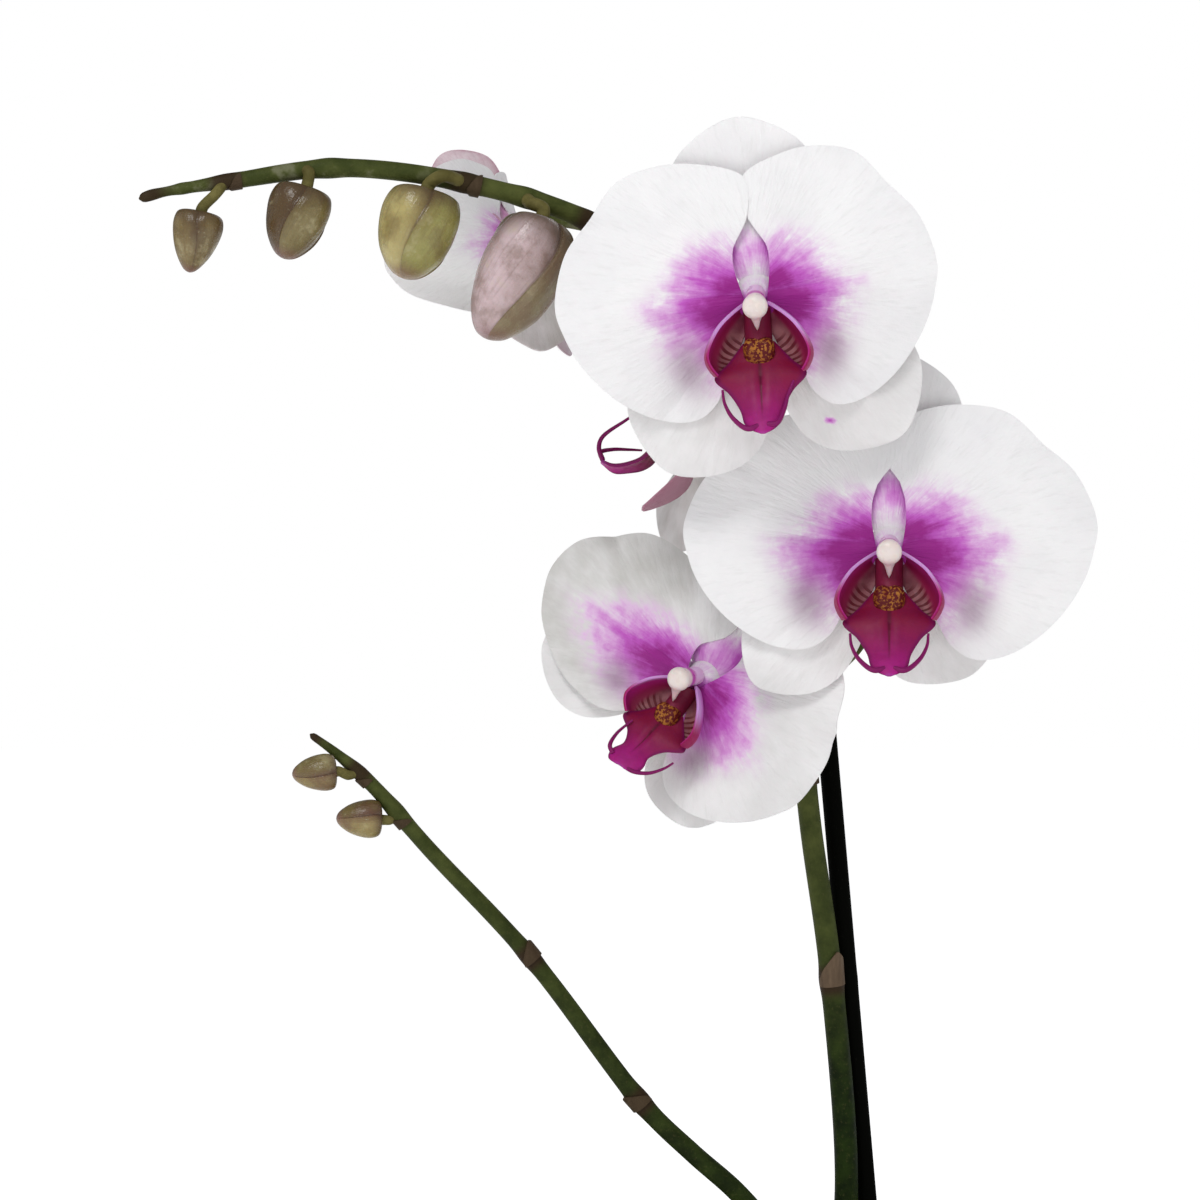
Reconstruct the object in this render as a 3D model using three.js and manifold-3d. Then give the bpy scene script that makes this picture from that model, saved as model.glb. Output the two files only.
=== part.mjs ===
// A moth orchid in its pot: a fan of strap leaves on a short crown, a flowering spike tied to a
// stake, and a younger spike with two small buds. Millimetres, +Z up, the viewer looks along +Y.
// The origin is the middle of the pot's base, on the surface that it stands on.
import * as THREE from "three";
import { mergeVertices } from "three/addons/utils/BufferGeometryUtils.js";
import Module from "manifold-3d";

const wasm = await Module();
wasm.setup();

// Driving dimensions
const GAP = 0.35; // clearance between pieces that touch on the real plant
const POT = { height: 118, rimRadius: 64, footRadius: 46, wall: 4.5, floor: 6, band: 12, sides: 30 };
const BARK = { top: 101, chips: 17, length: 21, width: 13, depth: 7, seed: 7 };
const CROWN = { x: -14, y: 20, bottom: 92, top: 134, radius: 9.5, tip: 5 };
const STAKE = { radius: 2.75, foot: [10.2, 12.4, 20], head: [-17.9, -5.4, 330] };
const CLIP = { z: 309, height: 5, wall: 1.4, play: 0.5 };
const TEPAL = 1.1; // thickness of a petal or sepal
const LEAF = 2.4; // thickness of a leaf
const SLIVER = 0.03; // edges shorter than this are closed up
const HUB = { radius: 6, depth: 3.6, back: 1.6 };

const COLOURS = {
  petal: 0xf4f1f2, lip: 0x9a1b62, column: 0xf3ead8, spike: 0x3f4d22, youngBud: 0x8a8450,
  ripeBud: 0xb59aa0, leaf: 0x3d6128, root: 0x9aa58c, bark: 0x6b4a33, pot: 0xd9d4cb,
  stake: 0x15170f, clip: 0x2f4a2a, crown: 0x5a7038,
};
const ROUGHNESS = { leaf: 0.35, pot: 0.3, stake: 0.6, clip: 0.4, bark: 0.95 };

const materials = {};
for (const [name, colour] of Object.entries(COLOURS)) {
  materials[name] = new THREE.MeshStandardMaterial({
    color: colour,
    roughness: ROUGHNESS[name] ?? 0.55,
    metalness: 0,
    side: THREE.DoubleSide,
  });
}

const vec = (x, y, z) => new THREE.Vector3(x, y, z);
const rad = THREE.MathUtils.degToRad;
const bell = (x, width) => Math.exp(-((x / width) ** 2));

// A closed mesh as a solid that can be joined and cut.
function solid(geometry) {
  const bare = new THREE.BufferGeometry().setAttribute("position", geometry.getAttribute("position"));
  if (geometry.index) bare.setIndex(geometry.index);
  const merged = mergeVertices(bare, 1e-4);
  return new wasm.Manifold(
    new wasm.Mesh({
      numProp: 3,
      vertProperties: new Float32Array(merged.attributes.position.array),
      triVerts: new Uint32Array(merged.index.array),
    }),
  );
}

// A solid as a geometry that a mesh can hold, rid of the slivers that joining leaves.
function geometryOf(body) {
  const mesh = body.simplify(SLIVER).getMesh();
  const geometry = new THREE.BufferGeometry();
  geometry.setAttribute("position", new THREE.BufferAttribute(new Float32Array(mesh.vertProperties), 3));
  geometry.setIndex(new THREE.BufferAttribute(new Uint32Array(mesh.triVerts), 1));
  geometry.computeVertexNormals();
  return geometry;
}

function joined(bodies) {
  return bodies.reduce((all, body) => all.add(body));
}

// The largest of a solid's separate bodies: what a cut leaves loose is dropped.
function mainBody(body) {
  return body.decompose().sort((a, b) => b.volume() - a.volume())[0];
}

// Numbers between 0 and 1 that are the same on every run.
function randomFrom(seed) {
  let state = seed;
  return () => {
    state = (state * 1664525 + 1013904223) % 4294967296;
    return state / 4294967296;
  };
}

// A closed geometry from rings of points, each ring with the same number of points, with flat ends.
function loft(rings) {
  const count = rings[0].length;
  const positions = rings.flat().flatMap((p) => [p.x, p.y, p.z]);
  const index = [];
  for (let i = 0; i + 1 < rings.length; i++) {
    for (let j = 0; j < count; j++) {
      const a = i * count + j;
      const b = i * count + ((j + 1) % count);
      index.push(a, b, b + count, a, b + count, a + count);
    }
  }
  for (const [ring, flip] of [[0, true], [rings.length - 1, false]]) {
    const middle = rings[ring].reduce((sum, p) => sum.clone().add(p), vec(0, 0, 0)).divideScalar(count);
    const centre = positions.length / 3;
    positions.push(middle.x, middle.y, middle.z);
    for (let j = 0; j < count; j++) {
      const a = ring * count + j;
      const b = ring * count + ((j + 1) % count);
      index.push(...(flip ? [b, a, centre] : [a, b, centre]));
    }
  }
  const geometry = new THREE.BufferGeometry();
  geometry.setAttribute("position", new THREE.Float32BufferAttribute(positions, 3));
  geometry.setIndex(index);
  return geometry;
}

// A round stalk through points. Its rings stand at shares of its length, and its radius follows them.
function stalk(points, radiusAt, shares, sides) {
  const curve = new THREE.CatmullRomCurve3(points, false, "centripetal");
  const steepest = (axis) => Math.max(...shares.map((s) => Math.abs(curve.getTangentAt(s).dot(axis))));
  const [reference] = [vec(0, 1, 0), vec(1, 0, 0), vec(0, 0, 1)].sort((a, b) => steepest(a) - steepest(b));
  const rings = shares.map((share) => {
    const centre = curve.getPointAt(share);
    const tangent = curve.getTangentAt(share);
    const normal = reference.clone().cross(tangent).normalize();
    const binormal = tangent.clone().cross(normal);
    return Array.from({ length: sides }, (_, j) => {
      const turn = (2 * Math.PI * j) / sides;
      return centre
        .clone()
        .addScaledVector(normal, Math.cos(turn) * radiusAt(share))
        .addScaledVector(binormal, Math.sin(turn) * radiusAt(share));
    });
  });
  return solid(loft(rings));
}

const even = (steps) => Array.from({ length: steps + 1 }, (_, i) => i / steps);

// A grid of points given thickness: both faces are split alike, so a waved blade never crosses itself.
function blade(grid, thickness) {
  const rows = grid.length;
  const columns = grid[0].length;
  const inside = (i, count) => THREE.MathUtils.clamp(i, 0, count - 1);
  const at = (i, j) => grid[inside(i, rows)][inside(j, columns)];
  const positions = [];
  for (const side of [0.5, -0.5]) {
    for (let i = 0; i < rows; i++) {
      for (let j = 0; j < columns; j++) {
        const along = at(i + 1, j).clone().sub(at(i - 1, j));
        const across = at(i, j + 1).clone().sub(at(i, j - 1));
        const normal = along.cross(across).normalize();
        const depth = thickness(i / (rows - 1), j / (columns - 1));
        const p = grid[i][j].clone().addScaledVector(normal, side * depth);
        positions.push(p.x, p.y, p.z);
      }
    }
  }
  const back = rows * columns;
  const index = [];
  for (let i = 0; i + 1 < rows; i++) {
    for (let j = 0; j + 1 < columns; j++) {
      const a = i * columns + j;
      index.push(a, a + columns, a + columns + 1, a, a + columns + 1, a + 1);
      index.push(a + back, a + columns + 1 + back, a + columns + back);
      index.push(a + back, a + 1 + back, a + columns + 1 + back);
    }
  }
  const rim = [];
  for (let i = 0; i < rows; i++) rim.push(i * columns);
  for (let j = 1; j < columns; j++) rim.push((rows - 1) * columns + j);
  for (let i = rows - 2; i >= 0; i--) rim.push(i * columns + columns - 1);
  for (let j = columns - 2; j > 0; j--) rim.push(j);
  rim.forEach((a, k) => {
    const b = rim[(k + 1) % rim.length];
    index.push(a, a + back, b + back, a, b + back, b);
  });
  const geometry = new THREE.BufferGeometry();
  geometry.setAttribute("position", new THREE.Float32BufferAttribute(positions, 3));
  geometry.setIndex(index);
  return solid(geometry);
}

// Tepals. A bloom's own frame has its middle at the origin, X to the viewer's right, Y towards the
// back sepal and Z towards the viewer. A tepal is drawn pointing along X, with its claw at the
// origin and its two edges running from the claw to the tip, and is then turned to its place.
const PETAL = {
  lower: [[3, -3], [6, -8.5], [9.5, -15], [12.8, -20.5], [16.2, -26.6], [22, -30.4], [30, -30], [38, -25.8],
    [45.5, -18.8], [51.6, -9.3], [54.4, 0]],
  upper: [[3.4, 3], [5, 8], [3, 16.5], [-1.8, 21.5], [-2.4, 31], [9, 35.8], [19.5, 37.2], [31.5, 35],
    [41, 26.5], [49, 19.4], [54, 9.5]],
};
const SEPAL_EDGE = [
  [1.5, 2.6], [9, 6.4], [17, 11.6], [26, 16.2], [34, 18], [41, 16.4], [46.5, 11.4], [50, 4],
];
const SEPAL = { lower: SEPAL_EDGE.map(([x, y]) => [x, -y]), upper: SEPAL_EDGE };
const LAYER = { petal: 1.8, sepal: -2.3 }; // petals stand in front of the sepals
const REFLEX = 0.0019; // how fast a tepal falls back from the bloom's plane
const RIB = { slope: 0.13, offset: -0.5 }; // the line of the petal's folded midrib

// The petal's folded midrib, the fall towards its edge, its waves and the pleat at its shoulder.
function petalHeight(x, y, wave) {
  const aboveRib = y - RIB.slope * x - RIB.offset;
  const fold = 3 * bell(x - 17, 19) * (1 - bell(aboveRib, 6)) * (aboveRib < 0 ? 1 : 0.35);
  const reach = Math.hypot(x, y);
  const ripple = 1.5 * (reach / 55) ** 3 * Math.sin(4.5 * Math.atan2(y, x) + wave);
  const pleat = 1.6 * bell(y - 0.62 * x, 2.6) * bell(reach - 50, 8);
  return LAYER.petal - fold - REFLEX * reach * reach + ripple - pleat;
}

function sepalHeight(x, y, wave) {
  const keel = 1.2 * bell(y, 5) * bell(x - 24, 20);
  const ripple = 0.9 * (x / 50) ** 2 * Math.sin(y / 5 + wave);
  return LAYER.sepal + keel - REFLEX * (x * x + y * y) + ripple;
}

// Where a row of a petal meets its folded midrib, so that the fold runs along an edge of the mesh.
function petalSplits(low, high) {
  const below = low[1] - RIB.slope * low[0] - RIB.offset;
  const above = high[1] - RIB.slope * high[0] - RIB.offset;
  const rib = below / (below - above);
  return [0, rib, (1 + rib) / 2, 1];
}

// One tepal as a blade. long and broad stretch it, lean carries its tip forward in a curve, raise
// tips all of it forward and turn swings it in the bloom's plane, both in degrees.
function tepal(edges, heightAt, splits, { turn, long = 1, broad = 1, lean = 0, raise = 0 }, mirror) {
  const grid = edges.lower.map((low, i) => {
    const high = edges.upper[i];
    return splits(low, high).map((k) => {
      const x = THREE.MathUtils.lerp(low[0], high[0], k);
      const y = THREE.MathUtils.lerp(low[1], high[1], k);
      const p = vec(x * long, y * broad, heightAt(x, y) + lean * (x / 50) ** 2);
      p.applyAxisAngle(vec(0, 1, 0), -rad(raise)).applyAxisAngle(vec(0, 0, 1), rad(turn));
      return mirror ? vec(-p.x, p.y, p.z) : p;
    });
  });
  return blade(mirror ? grid.map((row) => row.reverse()) : grid, () => TEPAL);
}

// The five tepals of one bloom, fused to the hub that the stalk meets.
function perianth({ wave, petals, sepals }) {
  const hub = new THREE.SphereGeometry(1, 8, 5);
  hub.scale(HUB.radius, HUB.radius, HUB.depth);
  hub.translate(0, 0, -HUB.back);
  const petal = (shape, mirror) =>
    tepal(PETAL, (x, y) => petalHeight(x, y, wave + (mirror ? 2 : 0)), petalSplits, shape, mirror);
  const sepal = (shape, mirror) =>
    tepal(SEPAL, (x, y) => sepalHeight(x, y, wave + shape.turn), () => [0, 0.5, 1], shape, mirror);
  const [back, left, right] = sepals;
  return mainBody(joined([solid(hub), petal(petals[1], false), petal(petals[0], true),
    sepal(back, false), sepal(right, false), sepal(left, true)]));
}

// The lip: a scooped middle lobe that ends in two curled tendrils, two side lobes that cup the
// column, and the knobbed callus between them.
const LIP = { thickness: 0.9, callus: [0, -14.5, 9.4], tendril: 0.55 };
const LIP_CLAW = { radius: 2.5, path: [[0, -3.4, 4.2], [0, -7, 4.5], [0, -12.5, 7.2]] }; // meets the column
const MIDLOBE = [ // half width, then height and reach of its middle line
  [4.2, -11.5, 6.5], [7.5, -17.5, 9.5], [11.9, -21.3, 12.5],
  [8, -24.8, 15.7], [5.4, -28.4, 18.8], [2, -33, 23.5],
];
const LOBE_FOOT = [[3, -8, 4.5], [4.6, -12, 6], [6, -15.5, 7.6], [7.2, -18.2, 9.2]];
const LOBE_EDGE = [[5, -2, 8], [11.2, -7, 13], [14.2, -13.5, 15.5], [12.4, -19.2, 14.5]];
const TENDRIL = [
  [0.6, -32.6, 23], [4, -32.2, 23.4], [7.6, -29.6, 20.6], [9.8, -26, 16.8], [10.2, -23, 14.2],
];

function lip() {
  const middle = blade(
    MIDLOBE.map(([half, y, z]) =>
      [-1, 0, 1].map((k) => vec(k * half, y - 1.2 * k * k, z + 0.12 * half * (1 - k * k))),
    ),
    () => LIP.thickness,
  );
  const sideLobe = (hand) => {
    const grid = LOBE_FOOT.map((foot, i) => {
      const edge = LOBE_EDGE[i];
      return [0, 0.5, 1].map((k) => {
        const p = vec(...foot).lerp(vec(...edge), k);
        const bulge = 4 * k * (1 - k);
        return vec(hand * (p.x + 2.2 * bulge), p.y - 0.8 * bulge, p.z - 2.4 * bulge);
      });
    });
    return blade(hand < 0 ? grid.map((row) => row.reverse()) : grid, () => LIP.thickness);
  };
  const tendril = (hand) => {
    const path = TENDRIL.map(([x, y, z]) => vec(hand * x, y, z));
    return stalk(path, (s) => LIP.tendril * (1.25 - 0.6 * s), even(4), 4);
  };
  const claw = stalk(LIP_CLAW.path.map((p) => vec(...p)), () => LIP_CLAW.radius, even(3), 6);
  const callus = new THREE.SphereGeometry(1, 6, 4);
  callus.scale(4.4, 4.4, 2.8);
  callus.translate(...LIP.callus);
  return mainBody(
    joined([middle, sideLobe(1), sideLobe(-1), tendril(1), tendril(-1), claw, solid(callus)]),
  );
}

// The column: a short club that leans over the lip, with the round anther cap on its end.
function column() {
  const profile = [
    [0, 0], [2.6, 0.2], [2.6, 5], [3.1, 7.8], [3.3, 9.8], [2.7, 11.8], [1.4, 12.7], [0, 12.9],
  ];
  const club = new THREE.LatheGeometry(profile.map(([r, h]) => new THREE.Vector2(r, h)), 8);
  club.rotateX(rad(90 + 12));
  club.translate(0, 0.6, HUB.depth - HUB.back + 0.9);
  return solid(club);
}

// Blooms. at is the middle of the bloom; yaw turns it to the viewer's left, nod tips it down and
// roll turns it clockwise; node is the share of the spike's length where its stalk leaves it, and
// swing carries that stalk's middle aside. Petals are listed left, right; sepals back, left, right.
const BLOOMS = {
  top: {
    at: [-36.8, -72, 400.7], yaw: 4.5, nod: 14, roll: -4, size: 0.97,
    node: 0.62, swing: [0, 4, -6], wave: 0.4,
    petals: [{ turn: -7, long: 0.98, broad: 1.02 }, { turn: -2, long: 0.875, broad: 1.02 }],
    sepals: [
      { turn: 93, long: 0.91, broad: 1.08 },
      { turn: -60, long: 1.1, broad: 1.1 },
      { turn: -48, long: 1.1 },
    ],
  },
  right: {
    at: [-0.2, -46, 336.2], yaw: 5, nod: 2, roll: 0, size: 1,
    node: 0.405, swing: [6, 2, -4], wave: 2.1,
    petals: [{ turn: -1, broad: 0.96 }, { turn: 0 }],
    sepals: [
      { turn: 90, long: 1.03, broad: 1.1 },
      { turn: -46, long: 1.08, broad: 0.85 },
      { turn: -58, long: 0.82, lean: -5 },
    ],
  },
  left: {
    at: [-49.3, -17, 300.2], yaw: 26, nod: -6, roll: 28, size: 0.97, lipSize: 0.88,
    node: 0.345, swing: [4, 4, -4], wave: 3.6,
    petals: [{ turn: -2, long: 1.1, broad: 0.97 }, { turn: -28, long: 0.92, lean: 4 }],
    sepals: [{ turn: 90, lean: 8 }, { turn: -18, long: 1.1 }, { turn: -50, long: 0.8 }],
  },
  behind: {
    at: [-49.7, 22, 387], yaw: 92, nod: -10, roll: -12, size: 0.92,
    node: 0.475, swing: [10, 10, 4], wave: 5.1,
    petals: [{ turn: 0, long: 0.95 }, { turn: -4, long: 0.85 }],
    sepals: [{ turn: 90 }, { turn: -76, lean: 10 }, { turn: -74, lean: 4 }],
  },
  opening: {
    at: [-100, 4, 423], yaw: 118, nod: 25, roll: 0, size: 0.72, lipSize: 0.8,
    node: 0.735, swing: [10, 6, -2], wave: 1.2,
    petals: [
      { turn: -8, long: 0.86, broad: 0.92, raise: 5, lean: 30 },
      { turn: -4, long: 0.88, broad: 0.96, raise: 5, lean: 28 },
    ],
    sepals: [
      { turn: 90, raise: 18, lean: 7 },
      { turn: -64, raise: 6, lean: 10 },
      { turn: -74, raise: 4, lean: 6 },
    ],
  },
};

// Turns a bloom's own frame into the plant's.
function bloomFrame({ at, yaw, nod, roll, size }) {
  const level = Math.cos(rad(nod));
  const facing = vec(-Math.sin(rad(yaw)) * level, -Math.cos(rad(yaw)) * level, -Math.sin(rad(nod)));
  const side = vec(0, 0, 1).cross(facing).normalize();
  const up = facing.clone().cross(side);
  const y = up.clone().multiplyScalar(Math.cos(rad(roll))).addScaledVector(side, Math.sin(rad(roll)));
  const x = y.clone().cross(facing);
  const frame = new THREE.Matrix4().makeBasis(x, y, facing).scale(vec(size, size, size));
  frame.setPosition(...at);
  return frame;
}

// A smaller lip keeps its claw where the column needs it.
function lipFrame({ lipSize = 1 }) {
  const [claw] = LIP_CLAW.path;
  const shift = vec(...claw).multiplyScalar(1 - lipSize);
  const place = new THREE.Matrix4().makeTranslation(shift.x, shift.y, shift.z);
  return place.scale(vec(lipSize, lipSize, lipSize));
}

// The main spike's middle line, from inside the crown to its tip, and the spike that leans out left.
const SPIKE = [
  [-13, 14, 112], [-11.6, 7.6, 126], [-8.1, 0, 154.2], [-12.6, -4, 217.1],
  [-18.6, -8, 259.2], [-21.7, -11, 288.4], [-24.4, -14, 321.6], [-29, -18, 354.5],
  [-39.4, -24, 384.3], [-56.7, -32, 406.7], [-79.7, -40, 422.7], [-110.1, -48, 431.6],
  [-144.8, -52, 435.6], [-173.6, -56, 431.6], [-192.2, -58.5, 428.2], [-197.5, -60, 426.4],
];
const SIDE_SPIKE = [
  [-18, 15, 113], [-21.5, 6, 126], [-27, -6, 144], [-35.7, -16, 158], [-49.6, -19, 169.5],
  [-64.7, -22, 183.1], [-96, -28, 224.8], [-122.9, -33, 254.2], [-138.8, -36, 272.4],
  [-148.1, -38, 280.8], [-154.7, -39, 285.7],
];
const SPIKE_NODES = [0.06, 0.232, 0.345, 0.405, 0.475, 0.62, 0.735, 0.775, 0.812, 0.89, 0.95];
const SIDE_NODES = [0.42, 0.635, 0.865, 0.93];

const spikeCurve = new THREE.CatmullRomCurve3(SPIKE.map((p) => vec(...p)), false, "centripetal");
const sideCurve = new THREE.CatmullRomCurve3(SIDE_SPIKE.map((p) => vec(...p)), false, "centripetal");

// A spike's radius: a slow taper with a swelling at each node.
const swelling = (nodes, s, reach) => nodes.reduce((sum, n) => sum + bell(s - n, reach), 0);
const spikeRadius = (s) =>
  (3.4 - 1.1 * s - 1.2 * bell(s - 1, 0.05)) * (1 + 0.14 * swelling(SPIKE_NODES, s, 0.008));
const sideRadius = (s) =>
  (3 - 1.1 * s - 0.9 * bell(s - 1, 0.06)) * (1 + 0.16 * swelling(SIDE_NODES, s, 0.016));

// Rings for a spike: evenly spaced, with three more at each node.
function ringShares(nodes, steps, reach) {
  const near = nodes.flatMap((n) => [n - reach, n, n + reach]);
  const far = even(steps).filter((s) => near.every((n) => Math.abs(s - n) > reach * 0.7));
  return [...far, ...near].filter((s) => s >= 0 && s <= 1).sort((a, b) => a - b);
}

// Buds. at is the bud's middle, tip the way it points, node where its stalk grows from.
const BUDS = {
  bud_ripe: {
    at: [-98, -52, 405], tip: [-9, -3, -30], length: 36, girth: 24,
    node: 0.775, bow: [1, -5, -3], onto: "main",
  },
  bud_large: {
    at: [-125.4, -55, 417.5], tip: [-5, -2, -20], length: 24, girth: 22,
    node: 0.812, bow: [-1, -4, 1.5], onto: "main",
  },
  bud_middle: {
    at: [-157, -57, 420.3], tip: [-6, -2, -20], length: 19.5, girth: 17.4,
    node: 0.905, bow: [1, -1, 1], onto: "main",
  },
  bud_small: {
    at: [-182.8, -60, 415], tip: [-4, -1, -20], length: 16, girth: 13,
    node: 0.95, bow: [2, -1, -1], onto: "main",
  },
  side_bud_upper: {
    at: [-153.4, -41.5, 275.4], tip: [-20, -4, -1], length: 12.5, girth: 9.6,
    node: 0.93, bow: [0, 0, -1], onto: "side",
  },
  side_bud_lower: {
    at: [-141.8, -37, 262.8], tip: [-20, -4, 1], length: 13, girth: 10,
    node: 0.865, bow: [0, 0, -1], onto: "side",
  },
};
const BUD_PROFILE = [ // distance along the bud, then width, both as shares
  [-0.44, 0.24], [-0.5, 0.52], [-0.38, 0.86], [-0.14, 1],
  [0.12, 0.93], [0.32, 0.7], [0.45, 0.4], [0.5, 0.14],
];

// A bud: three sepals shut edge to edge, so it has three shallow seams and a blunt point.
function bud({ at, tip, length, girth }) {
  const sides = 12;
  const rings = BUD_PROFILE.map(([s, r]) => {
    const ring = [];
    for (let j = 0; j < sides; j++) {
      const turn = (2 * Math.PI * j) / sides;
      const reach = (girth / 2) * r * (1 - 0.07 * Math.max(0, Math.cos(3 * turn)) ** 3);
      ring.push(vec(reach * Math.cos(turn), reach * Math.sin(turn), s * length));
    }
    return ring;
  });
  const geometry = loft(rings);
  const pointing = new THREE.Quaternion().setFromUnitVectors(vec(0, 0, 1), vec(...tip).normalize());
  geometry.applyQuaternion(pointing);
  geometry.translate(...at);
  return solid(geometry);
}

// The stalk of one bloom, from its node on the spike to just behind the bloom's hub.
function bloomStalk(bloom) {
  const frame = bloomFrame(bloom);
  const back = (distance) => vec(0, 0, -distance).applyMatrix4(frame);
  const start = spikeCurve.getPointAt(bloom.node);
  const end = back(HUB.depth + HUB.back + GAP);
  const waist = start.clone().lerp(back(16), 0.45).add(vec(...bloom.swing));
  return stalk([start, waist, back(15), end], (s) => 1.5 + 0.5 * s * s, even(6), 5);
}

function budStalk({ at, tip, length, girth, node, bow, onto }) {
  const start = (onto === "main" ? spikeCurve : sideCurve).getPointAt(node);
  const along = vec(...tip).normalize();
  const foot = vec(...at).addScaledVector(along, -length * 0.44 - GAP);
  const before = foot.clone().addScaledVector(along, -length * 0.14);
  const middle = start.clone().lerp(before, 0.5).add(vec(...bow));
  const thick = 0.7 + girth * 0.04;
  return stalk([start, middle, before, foot], () => thick, even(4), 5);
}

// A bract: the small pointed scale that wraps the spike at a node and narrows as it rises.
const BRACT = { height: 8, below: 1.5, wrap: 100, flare: 0.7, thickness: 0.8 };

function bract(curve, share, radius, towards) {
  const foot = curve.getPointAt(share);
  const along = curve.getTangentAt(share);
  const side = vec(...towards).projectOnPlane(along).normalize();
  const other = along.clone().cross(side);
  const grid = even(3).map((rise) => {
    const open = rad(BRACT.wrap) * (1 - 0.86 * rise * rise);
    const reach = radius + 0.25 + BRACT.flare * rise;
    return [1, 0.5, 0, -0.5, -1].map((k) =>
      foot.clone()
        .addScaledVector(along, BRACT.height * rise - BRACT.below)
        .addScaledVector(side, reach * Math.cos((open * k) / 2))
        .addScaledVector(other, reach * Math.sin((open * k) / 2)),
    );
  });
  return blade(grid, () => BRACT.thickness);
}

function spike() {
  return joined([
    stalk(SPIKE.map((p) => vec(...p)), spikeRadius, ringShares(SPIKE_NODES, 30, 0.009), 8),
    ...Object.values(BLOOMS).map(bloomStalk),
    ...Object.values(BUDS).filter((b) => b.onto === "main").map(budStalk),
    bract(spikeCurve, SPIKE_NODES[0], spikeRadius(SPIKE_NODES[0]), [-1, -0.6, 0]),
    bract(spikeCurve, SPIKE_NODES[1], spikeRadius(SPIKE_NODES[1]), [1, -0.6, 0]),
  ]);
}

function sideSpike() {
  return joined([
    stalk(SIDE_SPIKE.map((p) => vec(...p)), sideRadius, ringShares(SIDE_NODES, 12, 0.017), 7),
    ...Object.values(BUDS).filter((b) => b.onto === "side").map(budStalk),
    bract(sideCurve, SIDE_NODES[0], sideRadius(SIDE_NODES[0]), [-1, -0.4, -0.6]),
    bract(sideCurve, SIDE_NODES[1], sideRadius(SIDE_NODES[1]), [1, -0.4, 1]),
  ]);
}

// Leaves. Each leaves the crown at height z and heading turn (degrees, 0 is +X), climbs and then droops.
const LEAVES = {
  leaf_low_right: { turn: 15, z: 108.5, length: 165, width: 62, rise: 16, droop: 38 },
  leaf_low_left: { turn: 192, z: 109, length: 172, width: 60, rise: 16, droop: 38 },
  leaf_middle_right: { turn: 3, z: 117.5, length: 138, width: 56, rise: 18, droop: 8 },
  leaf_middle_left: { turn: 176, z: 121, length: 126, width: 52, rise: 18, droop: 4 },
  leaf_young: { turn: 52, z: 127, length: 58, width: 24, rise: 14, droop: 0 },
};
const LEAF_WIDTHS = [ // distance along the leaf, then width, both as shares
  [0, 0.34], [0.06, 0.3], [0.16, 0.44], [0.3, 0.72], [0.48, 0.96],
  [0.62, 1], [0.76, 0.94], [0.88, 0.74], [0.96, 0.44], [1, 0.14],
];

function leaf({ turn, z, length, width, rise, droop }) {
  const ahead = vec(Math.cos(rad(turn)), Math.sin(rad(turn)), 0);
  const side = vec(-ahead.y, ahead.x, 0);
  const spans = 4;
  const grid = LEAF_WIDTHS.map(([s, share]) => {
    const out = 3 + length * (s - 0.06 * s * s);
    const height = z + rise * Math.sin(Math.PI * Math.min(1, s * 0.95)) ** 0.9 - droop * s * s * s;
    const trough = (0.16 + 0.75 * bell(s, 0.13)) * (width * share) / 2;
    const row = [];
    for (let k = 0; k <= spans; k++) {
      const across = (2 * k) / spans - 1;
      row.push(
        vec(CROWN.x, CROWN.y, height + trough * across * across)
          .addScaledVector(ahead, out)
          .addScaledVector(side, (across * width * share) / 2),
      );
    }
    return row;
  });
  const body = blade(grid.map((row) => row.reverse()), (s, t) => LEAF * (1 - 0.6 * Math.abs(2 * t - 1)));
  const inTheWay = [crownShape(GAP), spikeFoot(SPIKE, spikeRadius), spikeFoot(SIDE_SPIKE, sideRadius)];
  return mainBody(inTheWay.reduce((all, shape) => all.subtract(shape), body));
}

// The foot of a spike with its clearance: the leaves part round it.
function spikeFoot(points, radiusAt) {
  return stalk(points.slice(0, 4).map((p) => vec(...p)), () => radiusAt(0) + GAP * 2, even(8), 10);
}

function crownShape(extra) {
  const { bottom, top, radius, tip } = CROWN;
  const profile = [
    [0, bottom - extra], [radius * 0.8 + extra, bottom - extra], [radius + extra, bottom + 14],
    [radius + extra, top - 16], [tip + 1.5 + extra, top - 4], [tip * 0.5 + extra, top + extra],
    [0, top + extra],
  ];
  const lathe = new THREE.LatheGeometry(profile.map(([r, h]) => new THREE.Vector2(r, h)), 16);
  lathe.rotateX(Math.PI / 2);
  lathe.translate(CROWN.x, CROWN.y, 0);
  return solid(lathe);
}

// Aerial roots leave the foot of the crown, loop over the bark and go down into it or over the rim.
const ROOT_RADIUS = 2.5;
const ROOTS = {
  root_front: [[-13, 13, 107], [-10, -2, 113], [-5, -18, 110.5], [-1, -31, 99], [0, -36, 86]],
  root_left: [[-21, 17, 105], [-32, 8, 112.6], [-40, -2, 109], [-43, -10, 98], [-42, -13, 86]],
  root_right: [[-7, 24, 104], [8, 30, 108.5], [22, 33, 106.5], [31, 33, 98], [34, 32, 86]],
  root_back: [[-14, 27, 106], [-12, 38, 113], [-6, 46, 108], [-3, 47, 97], [-2, 46, 86]],
  root_over_rim: [
    [-18, 14, 109], [-26, -8, 118], [-37, -34, 126], [-47, -50, 122], [-51, -55, 104], [-51, -56, 82],
  ],
};

// A root, or with something extra the space that it needs all round and past its end.
function rootShape(points, extra) {
  const path = points.map((p) => vec(...p));
  const end = path[path.length - 1];
  end.addScaledVector(end.clone().sub(path[path.length - 2]).normalize(), extra);
  return stalk(path, (s) => ROOT_RADIUS * (1 - 0.2 * s) + extra, even(7), 7);
}

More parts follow.
